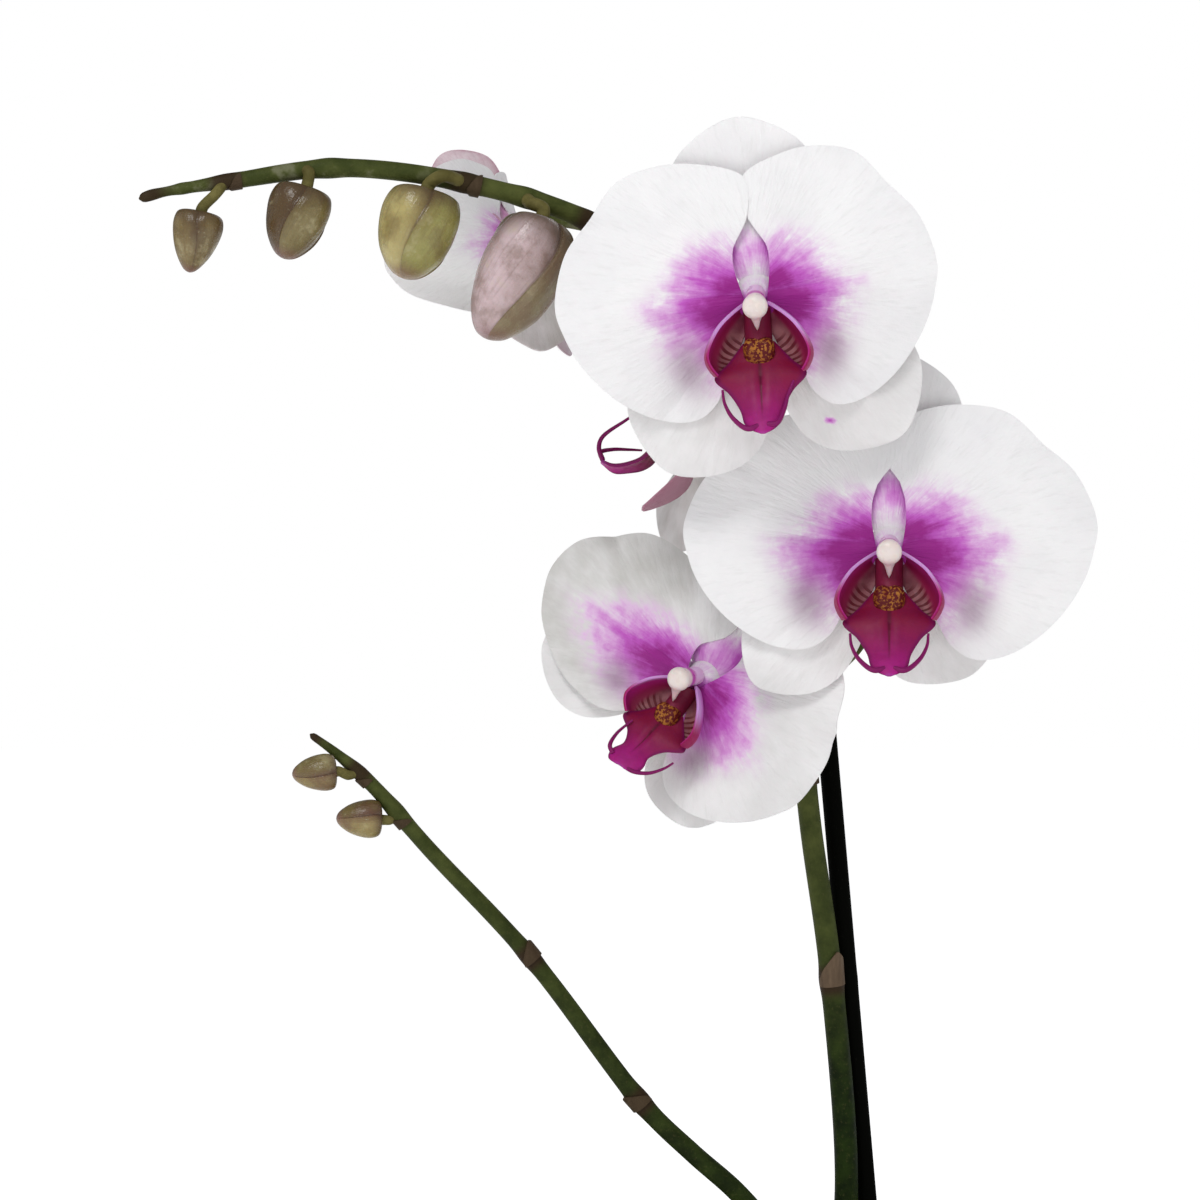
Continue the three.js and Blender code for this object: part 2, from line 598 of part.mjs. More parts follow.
function pot() {
  const { height, rimRadius, footRadius, wall, floor, band, sides } = POT;
  const profile = [
    [0, 0], [footRadius - 2, 0], [footRadius, 2], [rimRadius - 4, height - band - 2],
    [rimRadius - 0.6, height - band], [rimRadius, height - 1.5], [rimRadius - 1.4, height],
    [rimRadius - wall + 0.6, height - 0.6], [rimRadius - wall - 1, height - band],
    [footRadius - wall + 1, floor + 3], [footRadius - wall - 3, floor], [0, floor],
  ];
  const bowl = new THREE.LatheGeometry(profile.map(([r, h]) => new THREE.Vector2(r, h)), sides);
  bowl.rotateX(Math.PI / 2);
  const drains = [45, 135, 225, 315].map((turn) => {
    const hole = new THREE.CylinderGeometry(4.5, 4.5, 30, 10);
    hole.rotateX(Math.PI / 2);
    hole.translate(26 * Math.cos(rad(turn)), 26 * Math.sin(rad(turn)), 0);
    return solid(hole);
  });
  return drains.reduce((body, hole) => body.subtract(hole), solid(bowl));
}

// Bark chips heaped in the pot: a plug that fills it, with chips of random turn standing out of its top.
function bark(holes) {
  const { rimRadius, footRadius, wall, floor, height, band } = POT;
  const rim = rimRadius - wall - 1 - GAP;
  const wallSlope = (rim - (footRadius - wall + 1 - GAP)) / (height - band - floor - 3);
  const topRadius = rim - wallSlope * (height - band - BARK.top);
  const profile = [
    [0, floor + GAP], [footRadius - wall - 4 - GAP, floor + GAP],
    [footRadius - wall + 0.6 - GAP, floor + 3.6],
    [topRadius - 0.4, BARK.top - 2], [topRadius - 2, BARK.top], [0, BARK.top + 1],
  ];
  const plug = new THREE.LatheGeometry(profile.map(([r, h]) => new THREE.Vector2(r, h)), POT.sides);
  plug.rotateX(Math.PI / 2);
  const random = randomFrom(BARK.seed);
  const pieces = [solid(plug)];
  for (let i = 0; i < BARK.chips; i++) {
    const reach = (topRadius - 12) * Math.sqrt((i + 0.5) / BARK.chips);
    const turn = i * 2.39996;
    const length = BARK.length * (0.6 + 0.6 * random());
    const width = BARK.width * (0.6 + 0.5 * random());
    const chip = new THREE.BoxGeometry(length, width, BARK.depth);
    chip.rotateX((random() - 0.5) * 0.9);
    chip.rotateY((random() - 0.5) * 0.7);
    chip.rotateZ(random() * Math.PI);
    chip.translate(reach * Math.cos(turn), reach * Math.sin(turn), BARK.top + 0.5 + 2 * random());
    pieces.push(solid(chip));
  }
  return mainBody(holes.reduce((body, hole) => body.subtract(hole), joined(pieces)));
}

function rod(foot, head, radius, sides) {
  const from = vec(...foot);
  const axis = vec(...head).sub(from);
  const geometry = new THREE.CylinderGeometry(radius, radius, axis.length(), sides);
  geometry.translate(0, axis.length() / 2, 0);
  geometry.applyQuaternion(new THREE.Quaternion().setFromUnitVectors(vec(0, 1, 0), axis.normalize()));
  geometry.translate(from.x, from.y, from.z);
  return solid(geometry);
}

// The clip: one springy loop round the spike and the stake, with two finger tabs.
function clip() {
  const { z, height, wall, play } = CLIP;
  const share = (z - STAKE.foot[2]) / (STAKE.head[2] - STAKE.foot[2]);
  const stake = vec(...STAKE.foot).lerp(vec(...STAKE.head), share);
  let best = 0;
  for (let s = 0.2; s < 0.6; s += 0.001) {
    if (Math.abs(spikeCurve.getPointAt(s).z - z) < Math.abs(spikeCurve.getPointAt(best).z - z)) best = s;
  }
  const stem = spikeCurve.getPointAt(best);
  const middle = stem.clone().lerp(stake, 0.5);
  const away = stake.clone().sub(stem).setZ(0);
  const half = away.length() / 2;
  const ring = (extra, tall) => {
    const shape = new THREE.Shape();
    const r = Math.max(spikeRadius(best), STAKE.radius) + play + extra;
    shape.absarc(half, 0, r, -Math.PI / 2, Math.PI / 2, false);
    shape.absarc(-half, 0, r, Math.PI / 2, (3 * Math.PI) / 2, false);
    const options = { depth: tall, bevelEnabled: false, curveSegments: 5 };
    const geometry = new THREE.ExtrudeGeometry(shape, options);
    geometry.translate(0, 0, -tall / 2);
    return geometry;
  };
  const tabs = [-1, 1].map((hand) => {
    const tab = new THREE.BoxGeometry(1.3, 7, height);
    tab.translate(hand * 2.2, Math.max(spikeRadius(best), STAKE.radius) + play + wall / 2 + 3, 0);
    return solid(tab);
  });
  const body = joined([solid(ring(wall, height)), ...tabs]).subtract(solid(ring(0, height + 2)));
  const geometry = geometryOf(body);
  geometry.rotateZ(Math.atan2(away.y, away.x));
  geometry.rotateY(rad(-4.5));
  geometry.translate(middle.x, middle.y, z);
  return solid(geometry);
}

// The plant, piece by piece
const plant = new THREE.Group();

function place(name, body, material, matrix) {
  const mesh = new THREE.Mesh(geometryOf(body), materials[material]);
  mesh.name = name;
  if (matrix) mesh.applyMatrix4(matrix);
  plant.add(mesh);
}

place("pot", pot(), "pot");

const spikeBody = mainBody(spike().subtract(crownShape(GAP)));
const sideBody = mainBody(sideSpike().subtract(crownShape(GAP)));
place("flower_spike", spikeBody, "spike");
place("side_spike", sideBody, "spike");
place("crown", crownShape(0), "crown");

for (const [name, points] of Object.entries(ROOTS)) {
  place(name, mainBody(rootShape(points, 0).subtract(crownShape(GAP))), "root");
}
const [stakeX, stakeY, stakeFoot] = STAKE.foot;
const holes = [
  crownShape(GAP),
  rod([stakeX, stakeY, stakeFoot - GAP], STAKE.head, STAKE.radius + GAP, 12),
  ...Object.values(ROOTS).map((points) => rootShape(points, GAP * 1.4)),
];
place("bark", bark(holes), "bark");
place("stake", rod(STAKE.foot, STAKE.head, STAKE.radius, 12), "stake");
place("stake_clip", clip(), "clip");

for (const [name, shape] of Object.entries(LEAVES)) place(name, leaf(shape), "leaf");

for (const [name, bloom] of Object.entries(BLOOMS)) {
  const frame = bloomFrame(bloom);
  place(`bloom_${name}_petals`, perianth(bloom), "petal", frame);
  place(`bloom_${name}_lip`, lip(), "lip", frame.clone().multiply(lipFrame(bloom)));
  place(`bloom_${name}_column`, column(), "column", frame);
}
for (const [name, shape] of Object.entries(BUDS)) {
  place(name, bud(shape), name === "bud_ripe" ? "ripeBud" : "youngBud");
}

export default plant;
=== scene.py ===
import math

import bpy
import numpy as np
from mathutils import Matrix, Vector


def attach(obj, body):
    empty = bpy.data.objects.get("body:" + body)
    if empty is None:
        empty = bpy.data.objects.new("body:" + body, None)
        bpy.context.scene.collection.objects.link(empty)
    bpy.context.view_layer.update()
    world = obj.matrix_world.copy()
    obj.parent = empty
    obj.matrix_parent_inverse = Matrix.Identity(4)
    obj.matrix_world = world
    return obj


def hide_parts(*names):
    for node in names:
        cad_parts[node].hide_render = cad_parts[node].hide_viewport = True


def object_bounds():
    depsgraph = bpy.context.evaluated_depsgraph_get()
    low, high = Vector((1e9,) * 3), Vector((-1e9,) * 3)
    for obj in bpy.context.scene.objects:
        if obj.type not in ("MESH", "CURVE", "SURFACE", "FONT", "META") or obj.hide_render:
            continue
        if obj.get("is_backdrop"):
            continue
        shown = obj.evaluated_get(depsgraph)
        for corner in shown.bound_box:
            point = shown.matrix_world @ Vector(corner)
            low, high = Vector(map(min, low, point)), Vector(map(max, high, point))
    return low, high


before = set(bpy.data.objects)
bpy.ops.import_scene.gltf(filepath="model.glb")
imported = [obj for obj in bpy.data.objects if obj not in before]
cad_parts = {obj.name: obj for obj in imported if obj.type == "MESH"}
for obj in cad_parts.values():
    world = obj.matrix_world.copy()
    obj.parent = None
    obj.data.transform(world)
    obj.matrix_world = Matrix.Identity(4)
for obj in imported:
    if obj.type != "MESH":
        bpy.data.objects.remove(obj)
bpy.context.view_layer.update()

# Camera. It looks level along +Y from 0.9 m in front of the plant, a little left of the pot and as
# high as the lower blooms, through a medium long lens.
DISTANCE, HALF_WIDTH_SEEN = 0.9, 0.168
camera_lens = bpy.data.cameras.new("front_view")
camera_lens.sensor_width = 36.0
camera_lens.lens = camera_lens.sensor_width / 2 * DISTANCE / HALF_WIDTH_SEEN
camera_lens.clip_start = 0.01
camera_lens.clip_end = 20.0
camera = bpy.data.objects.new("front_view", camera_lens)
camera.location = (-0.077, -DISTANCE, 0.3216)
camera.rotation_euler = (math.radians(90.0), 0.0, 0.0)
bpy.context.scene.collection.objects.link(camera)
bpy.context.scene.camera = camera
bpy.context.scene.view_settings.view_transform = "Standard"


# Pot. A plain round pot of glazed earthenware, thrown with a rolled rim band. Its foot stands
# unglazed on the table, and four drain holes are pierced through its floor.
def new_finish(name):
    """A new material. The helpers below then work on its tree of nodes and its main shader."""
    global tree, shader
    material = bpy.data.materials.new(name)
    material.use_nodes = True
    tree, shader = material.node_tree, material.node_tree.nodes["Principled BSDF"]
    return material


def feed(node, inputs):
    """Sets inputs of a node, each to a plain value or from the output that it is linked to."""
    for socket, value in inputs.items():
        if isinstance(value, bpy.types.NodeSocket):
            tree.links.new(value, node.inputs[socket])
        else:
            node.inputs[socket].default_value = value
    return node


def add(kind, inputs={}, **settings):
    """Adds a node to the tree at hand. The kind of a shader node is given without its first words."""
    node = tree.nodes.new(kind if "Node" in kind else "ShaderNode" + kind)
    for key, value in settings.items():
        setattr(node, key, value)
    return feed(node, inputs)


def place_on(scale=(1.0, 1.0, 1.0)):
    """The piece's own coordinates in metres, stretched."""
    return stretched(add("TexCoord").outputs["Object"], scale)


def stretched(vector, scale):
    return add("Mapping", {"Vector": vector, "Scale": scale}).outputs["Vector"]


def mark(name):
    return add("Attribute", attribute_name=name).outputs["Vector"]


def parts_of(vector):
    return tuple(add("SeparateXYZ", {0: vector}).outputs)


def noise(scale, detail=3.0, roughness=0.55, at=None):
    settings = {"Vector": at or place_on(), "Scale": scale, "Detail": detail, "Roughness": roughness}
    return add("TexNoise", settings).outputs["Fac"]


def tint(red, green, blue):
    """A colour given as it looks on a screen, 0 to 255, in the shader's own units."""
    parts = [c / 255.0 for c in (red, green, blue)]
    return tuple(((p + 0.055) / 1.055) ** 2.4 if p > 0.04045 else p / 12.92 for p in parts) + (1.0,)


def blend(share, first, second):
    """The first colour where share is 0 and the second where it is 1."""
    first, second = (tint(*c) if isinstance(c, tuple) else c for c in (first, second))
    return add("Mix", {0: share, 6: first, 7: second}, data_type="RGBA").outputs[2]


def coated(colour, *coats):
    """The colour under coats of paint, each given as the share of it that shows and its own colour."""
    for share, coat in coats:
        colour = blend(share, colour, coat)
    return colour


def between(value, low, high, out_low=0.0, out_high=1.0):
    """Spreads the values from low to high over the outgoing range, eased at both ends."""
    ends = {"Value": value, "From Min": low, "From Max": high, "To Min": out_low, "To Max": out_high}
    return add("MapRange", ends, interpolation_type="SMOOTHSTEP").outputs["Result"]


def math_of(operation, first, second=0.0):
    return add("Math", {0: first, 1: second}, operation=operation).outputs[0]


def times(first, second):
    return math_of("MULTIPLY", first, second)


def plus(first, second):
    return math_of("ADD", first, second)


def relief(height, depth, strength):
    """Gives the surface a fine relief, its depth in metres."""
    bump = add("Bump", {"Height": height, "Distance": depth, "Strength": strength})
    feed(shader, {"Normal": bump.outputs["Normal"]})


def eased(corners, reach, steps=5):
    """A line through corners, each eased into a short curve that starts within reach of it."""
    corners = np.asarray(corners, float)
    line = [corners[0]]
    for before, corner, after in zip(corners, corners[1:], corners[2:]):
        lengths = [np.linalg.norm(before - corner), np.linalg.norm(after - corner)]
        near, far = (min(reach, 0.45 * length) / length for length in lengths)
        start, end = corner + (before - corner) * near, corner + (after - corner) * far
        for k in np.linspace(0, 1, steps):
            line.append(start * (1 - k) ** 2 + 2 * corner * k * (1 - k) + end * k * k)
    line.append(corners[-1])
    return np.array(line)


def turned(profile, sides, shape=None):
    """Points and faces of a line of (radius, height) spun round the upright axis, closed at both ends."""
    profile = np.asarray(profile, float)
    turn = np.linspace(0, 2 * np.pi, sides, endpoint=False)
    radius = np.repeat(profile[1:-1, :1], sides, 1)
    height = np.repeat(profile[1:-1, 1:], sides, 1)
    if shape is not None:
        radius = radius * shape(turn[None, :], height)
    rings = np.stack([radius * np.cos(turn), radius * np.sin(turn), height], -1).reshape(-1, 3)
    points = np.vstack([rings, [[0, 0, profile[0, 1]], [0, 0, profile[-1, 1]]]])
    faces, count = [], len(profile) - 2
    for i in range(count - 1):
        for j in range(sides):
            a, b = i * sides + j, i * sides + (j + 1) % sides
            faces.append((a, b, b + sides, a + sides))
    last = (count - 1) * sides
    for j in range(sides):
        after = (j + 1) % sides
        faces += [(len(rings), after, j), (last + j, last + after, len(rings) + 1)]
    return points, faces


def put(name, mesh):
    piece = bpy.data.objects.new(name, mesh)
    bpy.context.scene.collection.objects.link(piece)
    return piece


def skin(name, points, faces, finish, marks={}, crease=None):
    """A piece from points in millimetres, with marks on its points for its finish to read."""
    mesh = bpy.data.meshes.new(name)
    mesh.from_pydata((np.asarray(points, float) * 0.001).tolist(), [], [tuple(map(int, f)) for f in faces])
    for key, values in marks.items():
        layer = mesh.attributes.new(key, "FLOAT_VECTOR", "POINT")
        layer.data.foreach_set("vector", np.asarray(values, np.float32).ravel())
    mesh.shade_smooth()
    if crease:
        mesh.set_sharp_from_angle(angle=math.radians(crease))
    mesh.materials.append(finish)
    return put(name, mesh)


def as_seen(piece):
    """The piece's mesh with its modifiers at work."""
    bpy.context.view_layer.update()
    return bpy.data.meshes.new_from_object(piece.evaluated_get(bpy.context.evaluated_depsgraph_get()))


glaze = new_finish("warm_white_glaze")
height_up = parts_of(place_on())[2]
cloud = noise(34.0, 4.0)
throwing = add("TexWave", {"Vector": place_on(), "Scale": 60.0, "Distortion": 1.5, "Detail": 2.0},
               bands_direction="Z").outputs["Fac"]
coat = coated(blend(between(cloud, 0.35, 0.7), (226, 221, 210), (212, 205, 191)),
              (between(noise(900.0, 2.0), 0.66, 0.74), (150, 132, 108)),
              (between(height_up, 0.1165, 0.1182), (186, 168, 142)))
bare_foot = between(plus(height_up, times(cloud, 0.003)), 0.0052, 0.0046)
feed(shader, {"Base Color": blend(bare_foot, coat, (190, 158, 126)),
              "Roughness": between(plus(bare_foot, times(cloud, 0.3)), 0.0, 1.3, 0.14, 0.85),
              "Coat Weight": 0.35, "Coat Roughness": 0.06})
relief(plus(times(throwing, 0.5), cloud), 0.0005, 0.5)

# Sizes here and below are in millimetres and turns in degrees, but a finish has its own in metres.
POT_LINE = [[0, 0], [44, 0], [46, 2], [60, 104], [63.4, 106], [64, 116.5], [62.6, 118], [60.1, 117.4],
            [58.5, 106], [42.5, 9], [38.5, 6], [0, 6]]
DRAIN = {"radius": 4.5, "from_middle": 26, "turns": (45, 135, 225, 315)}
pot_bowl = skin("pot_bowl", *turned(eased(POT_LINE, 1.6), sides=128), glaze)
for turn in DRAIN["turns"]:
    points, faces = turned([[0, -8], [DRAIN["radius"], -8], [DRAIN["radius"], 14], [0, 14]], sides=32)
    points[:, 0] += DRAIN["from_middle"] * math.cos(math.radians(turn))
    points[:, 1] += DRAIN["from_middle"] * math.sin(math.radians(turn))
    drill = skin("drill", points, faces, glaze)
    cut = pot_bowl.modifiers.new("cut", "BOOLEAN")
    cut.operation, cut.solver, cut.object = "DIFFERENCE", "EXACT", drill
    pierced = as_seen(pot_bowl)
    pot_bowl.modifiers.remove(cut)
    pot_bowl.data = pierced
    bpy.data.objects.remove(drill)
pot_bowl.data.set_sharp_from_angle(angle=math.radians(50))
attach(pot_bowl, "root")
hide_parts("pot")


# Bark. Orchids are potted in chips of pine bark, which fill the pot to just under its rim. The chips
# on top are broken flakes that lie every way.
def shape_tree(name, inputs):
    """A new tree that makes shapes from a starting mesh, with named inputs. The helpers then work on it."""
    global tree
    tree = bpy.data.node_groups.new(name, "GeometryNodeTree")
    for label, kind in {"Geometry": "Geometry", **inputs}.items():
        tree.interface.new_socket(label, in_out="INPUT", socket_type="NodeSocket" + kind)
    tree.interface.new_socket("Geometry", in_out="OUTPUT", socket_type="NodeSocketGeometry")
    return tree, add("NodeGroupInput").outputs


def made_by(name, start, rule_tree, sizes):
    """Runs a shape tree over a starting mesh with the sizes given by name, and keeps the result as a mesh."""
    start_piece = put(name + "_start", start)
    rule = start_piece.modifiers.new("rule", "NODES")
    rule.node_group = rule_tree
    sockets = {item.name: item.identifier
               for item in rule_tree.interface.items_tree if item.in_out == "INPUT"}
    for label, value in sizes.items():
        rule[sockets[label]] = value
    mesh = as_seen(start_piece)
    mesh.name = name
    start_piece.modifiers.remove(rule)
    bpy.data.objects.remove(start_piece)
    return put(name, mesh)


bark_finish = new_finish("pine_bark")
layers = noise(260.0, 6.0, 0.65, place_on((1.0, 1.0, 3.0)))
chip_tone = parts_of(mark("chip"))[0]
brown = coated(blend(between(noise(60.0), 0.35, 0.68), (92, 58, 38), (142, 98, 66)),
               (times(chip_tone, 0.8), (178, 132, 92)))
brown = blend(between(layers, 0.26, 0.6), (48, 31, 22), brown)
feed(shader, {"Base Color": blend(between(layers, 0.68, 0.8), brown, (176, 136, 98)), "Roughness": 0.92})
relief(layers, 0.0016, 0.9)

HEAP_LINE = [[0, 6.4], [37.6, 6.4], [41.6, 9.2], [56.9, 98], [54, 100.5], [46, 101.2], [36, 102], [26, 102.4],
             [16, 102.2], [8, 102.5], [0, 102.4]]
points, faces = turned(eased(HEAP_LINE, 2.0, 3), sides=72)
lumps = np.sin(points[:, 0] * 0.61 + 1.3 * np.sin(points[:, 1] * 0.37)) * np.sin(points[:, 1] * 0.53 + 0.4)
points[:, 2] += np.where(points[:, 2] > 99, 1.3 * lumps, 0)
bark_heap = skin("bark_heap", points, faces, bark_finish, crease=40)

chips, given = shape_tree("bark_chips", {"Chips per square metre": "Float", "Chip spacing": "Float",
                                         "Chip size": "Vector", "Ruggedness": "Float", "Seed": "Int",
                                         "Bark": "Material"})


def random_between(low, high, seed):
    limits = {0: low, 1: high, "Seed": seed}
    return add("FunctionNodeRandomValue", limits, data_type="FLOAT_VECTOR").outputs[0]


spots = add("GeometryNodeDistributePointsOnFaces",
            {"Mesh": given["Geometry"], "Distance Min": given["Chip spacing"],
             "Density Max": given["Chips per square metre"], "Seed": given["Seed"]},
            distribute_method="POISSON")
flake = add("GeometryNodeMeshCube",
            {"Size": given["Chip size"], "Vertices X": 5, "Vertices Y": 4, "Vertices Z": 3})
laid = add("GeometryNodeInstanceOnPoints", {
    "Points": spots.outputs["Points"], "Instance": flake.outputs["Mesh"],
    "Rotation": random_between((-0.62, -0.55, 0.0), (0.62, 0.55, 6.2832), given["Seed"]),
    "Scale": random_between((0.55, 0.6, 0.6), (1.35, 1.3, 1.3), 11)})
toned = add("GeometryNodeStoreNamedAttribute",
            {"Geometry": laid.outputs[0], "Name": "chip",
             "Value": random_between((0.0, 0.0, 0.0), (1.0, 1.0, 1.0), 23)},
            data_type="FLOAT_VECTOR", domain="INSTANCE")
loose = add("GeometryNodeRealizeInstances", {0: toned.outputs[0]})
broken = add("TexNoise", {"Scale": 95.0, "Detail": 2.0})
centred = add("VectorMath", {0: broken.outputs["Color"], 1: (0.5, 0.5, 0.5)}, operation="SUBTRACT")
shove = add("VectorMath", {0: centred.outputs[0], "Scale": given["Ruggedness"]}, operation="SCALE")
rugged = add("GeometryNodeSetPosition", {"Geometry": loose.outputs[0], "Offset": shove.outputs[0]})
named = add("GeometryNodeSetMaterial", {"Geometry": rugged.outputs[0], "Material": given["Bark"]})
add("NodeGroupOutput", {"Geometry": named.outputs[0]})

BED = {"sides": 24, "middle": 104.2, "rings": ((24, 104), (47, 102.6))}
sides = BED["sides"]
bed = bpy.data.meshes.new("bark_bed")
corners = [[0, 0, BED["middle"]]] + [[r * math.cos(a), r * math.sin(a), h] for r, h in BED["rings"]
                                     for a in np.linspace(0, 2 * np.pi, sides, endpoint=False)]
fans = [(0, 1 + j, 1 + (j + 1) % sides) for j in range(sides)]
fans += [(1 + j, 1 + sides + j, 1 + sides + (j + 1) % sides, 1 + (j + 1) % sides) for j in range(sides)]
bed.from_pydata((np.array(corners) * 0.001).tolist(), [], fans)
bark_chips = made_by("bark_chips", bed, chips, {
    "Chips per square metre": 50000.0, "Chip spacing": 0.0062, "Chip size": (0.018, 0.012, 0.0042),
    "Ruggedness": 0.0055, "Seed": 7, "Bark": bark_finish})
bark_chips.data.shade_flat()
for piece in (bark_heap, bark_chips):
    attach(piece, "root")
    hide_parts("bark")


# Aerial roots. Thick silvery roots loop from the foot of the crown over the bark and dive into it,
# and one hangs over the rim with its growing tip still green.
def smooth_line(points, steps=12):
    """Points along a smooth line through the given ones, with the same number of steps between each two."""
    p = np.asarray(points, float)
    p = np.vstack([2 * p[0] - p[1], p, 2 * p[-1] - p[-2]])
    line = []
    for i in range(1, len(p) - 2):
        a, b, c, d = p[i - 1:i + 3]
        u, v, w = (max(np.linalg.norm(q), 1e-6) ** 0.5 for q in (b - a, c - b, d - c))
        leave = ((b - a) / u - (c - a) / (u + v) + (c - b) / v) * v
        arrive = ((c - b) / v - (d - b) / (v + w) + (d - c) / w) * v
        t = np.linspace(0, 1, steps, endpoint=False)[:, None]
        line.append(b + leave * t + (3 * (c - b) - 2 * leave - arrive) * t ** 2
                    + (2 * (b - c) + leave + arrive) * t ** 3)
    return np.vstack(line + [p[-2:-1]])


def evenly(line, count):
    """The same line with count points at equal distances, and its length."""
    walked = np.concatenate([[0], np.cumsum(np.linalg.norm(np.diff(line, axis=0), axis=1))])
    wanted = np.linspace(0, walked[-1], count)
    return np.column_stack([np.interp(wanted, walked, line[:, k]) for k in range(3)]), walked[-1]


stems, given = shape_tree("round_stem", {"Sides": "Int", "Thickness": "Float", "Skin": "Material"})
path = add("GeometryNodeMeshToCurve", {"Mesh": given["Geometry"]})
girth = add("GeometryNodeInputNamedAttribute", {"Name": "girth"}, data_type="FLOAT")
rounds = add("GeometryNodeCurvePrimitiveCircle", {"Resolution": given["Sides"], "Radius": 1.0}, mode="RADIUS")
tube = add("GeometryNodeCurveToMesh",
           {"Curve": path.outputs[0], "Profile Curve": rounds.outputs["Curve"], "Fill Caps": True,
            "Scale": times(girth.outputs[0], given["Thickness"])})
smooth = add("GeometryNodeSetShadeSmooth", {"Geometry": tube.outputs[0]})
whole = add("GeometryNodeRealizeInstances", {0: smooth.outputs[0]})
named = add("GeometryNodeSetMaterial", {"Geometry": whole.outputs[0], "Material": given["Skin"]})
add("NodeGroupOutput", {"Geometry": named.outputs[0]})


def stem_piece(name, lines, sides, finish):
    """Round stems along lines in millimetres. Each line comes with the radius and a mark at its points."""
    edges, start = [], 0
    for line, _, _ in lines:
        edges += [(start + i, start + i + 1) for i in range(len(line) - 1)]
        start += len(line)
    mesh = bpy.data.meshes.new(name + "_lines")
    mesh.from_pydata((np.vstack([line for line, _, _ in lines]) * 0.001).tolist(), edges, [])
    radius = mesh.attributes.new("girth", "FLOAT", "POINT")
    radius.data.foreach_set("value", np.concatenate([r for _, r, _ in lines]).astype(np.float32) * 0.001)
    growth = mesh.attributes.new("growth", "FLOAT_VECTOR", "POINT")
    growth.data.foreach_set("vector", np.vstack([m for _, _, m in lines]).astype(np.float32).ravel())
    return made_by(name, mesh, stems, {"Sides": sides, "Thickness": 1.0, "Skin": finish})


velamen = new_finish("silvery_root")
tip = parts_of(mark("growth"))[1]
mottle, fibre = noise(240.0, 5.0, 0.6), noise(1500.0, 2.0)
silver = blend(between(mottle, 0.34, 0.7), (134, 146, 116), (192, 196, 182))
silver = coated(silver, (between(fibre, 0.62, 0.8), (226, 226, 214)), (tip, (112, 138, 48)))
feed(shader, {"Base Color": silver, "Roughness": between(tip, 0.0, 1.0, 0.72, 0.34)})
relief(plus(mottle, times(fibre, 0.3)), 0.0006, 0.6)

ROOTS = {
    "root_front": [[-13, 13, 107], [-10, -2, 113], [-5, -18, 110.5], [-1, -31, 99], [0, -36, 86]],
    "root_left": [[-21, 17, 105], [-32, 8, 112.6], [-40, -2, 109], [-43, -10, 98], [-42, -13, 86]],
    "root_right": [[-7, 24, 104], [8, 30, 108.5], [22, 33, 106.5], [31, 33, 98], [34, 32, 86]],
    "root_back": [[-14, 27, 106], [-12, 38, 113], [-6, 46, 108], [-3, 47, 97], [-2, 46, 86]],
    "root_over_rim": [[-18, 14, 109], [-26, -8, 118], [-37, -34, 126], [-47, -50, 122], [-51, -55, 104],
                      [-51, -56, 82]],
}
ROOT = {"radius": 2.5, "taper": 0.2, "green_tip": 9, "points": 90, "sides": 20}


def blunt(radius, length, reach):
    """Rounds off the far end of a stem within reach of it."""
    left_over = np.linspace(1, 0, len(radius)) * length
    return radius * np.sqrt(np.clip(1 - (1 - np.clip(left_over / reach, 0, 1)) ** 2, 0.02, 1))


for number, (name, points) in enumerate(ROOTS.items()):
    line, length = evenly(smooth_line(points), ROOT["points"])
    share = np.linspace(0, 1, ROOT["points"])
    waves = 1 + 0.05 * np.sin(share * 23 + number) + 0.03 * np.sin(share * 61 + 2 * number)
    radius = blunt(ROOT["radius"] * (1 - ROOT["taper"] * share) * waves, length, 2.2)
    green = np.clip(1 - (1 - share) * length / ROOT["green_tip"], 0, 1) * (name == "root_over_rim")
    marks = np.column_stack([share * length, green, share])
    root = stem_piece(name + "_skin", [(line, radius, marks)], ROOT["sides"], velamen)
    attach(root, "root")
    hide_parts(name)


# Crown. The short upright stem that everything grows from is wrapped in the folded feet of the leaves.
# The oldest of them have dried to a papery brown at the bottom.
crown_finish = new_finish("leaf_sheath")
fibre = noise(900.0, 4.0, at=place_on((1.0, 1.0, 0.08)))
dry = between(plus(parts_of(place_on())[2], times(fibre, 0.012)), 0.119, 0.105)
green = blend(fibre, (70, 96, 44), (112, 136, 72))
husk = blend(fibre, (112, 84, 54), (176, 148, 108))
feed(shader, {"Base Color": blend(dry, green, husk), "Roughness": 0.55})
relief(fibre, 0.0008, 0.7)

CROWN = {"x": -14.0, "y": 20.0, "bottom": 92.0,
         "line": [[0, 92], [7.6, 92], [9.5, 106], [9.5, 118], [6.5, 130], [2.5, 134], [0, 134]]}


def folded(turn, height):
    """The crown's outline: the feet of the leaves fold round it left and right, each over the next."""
    lap = np.sin(turn + 0.03 * (height - CROWN["bottom"])) * 0.5 + 0.5
    return 0.9 + 0.1 * np.abs(np.cos(turn)) - 0.06 * np.exp(-((lap - 0.82) / 0.1) ** 2)


points, faces = turned(eased(CROWN["line"], 5.0, 6), sides=64, shape=folded)
crown_sheaths = skin("crown_sheaths", points + [CROWN["x"], CROWN["y"], 0], faces, crown_finish)
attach(crown_sheaths, "root")
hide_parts("crown")


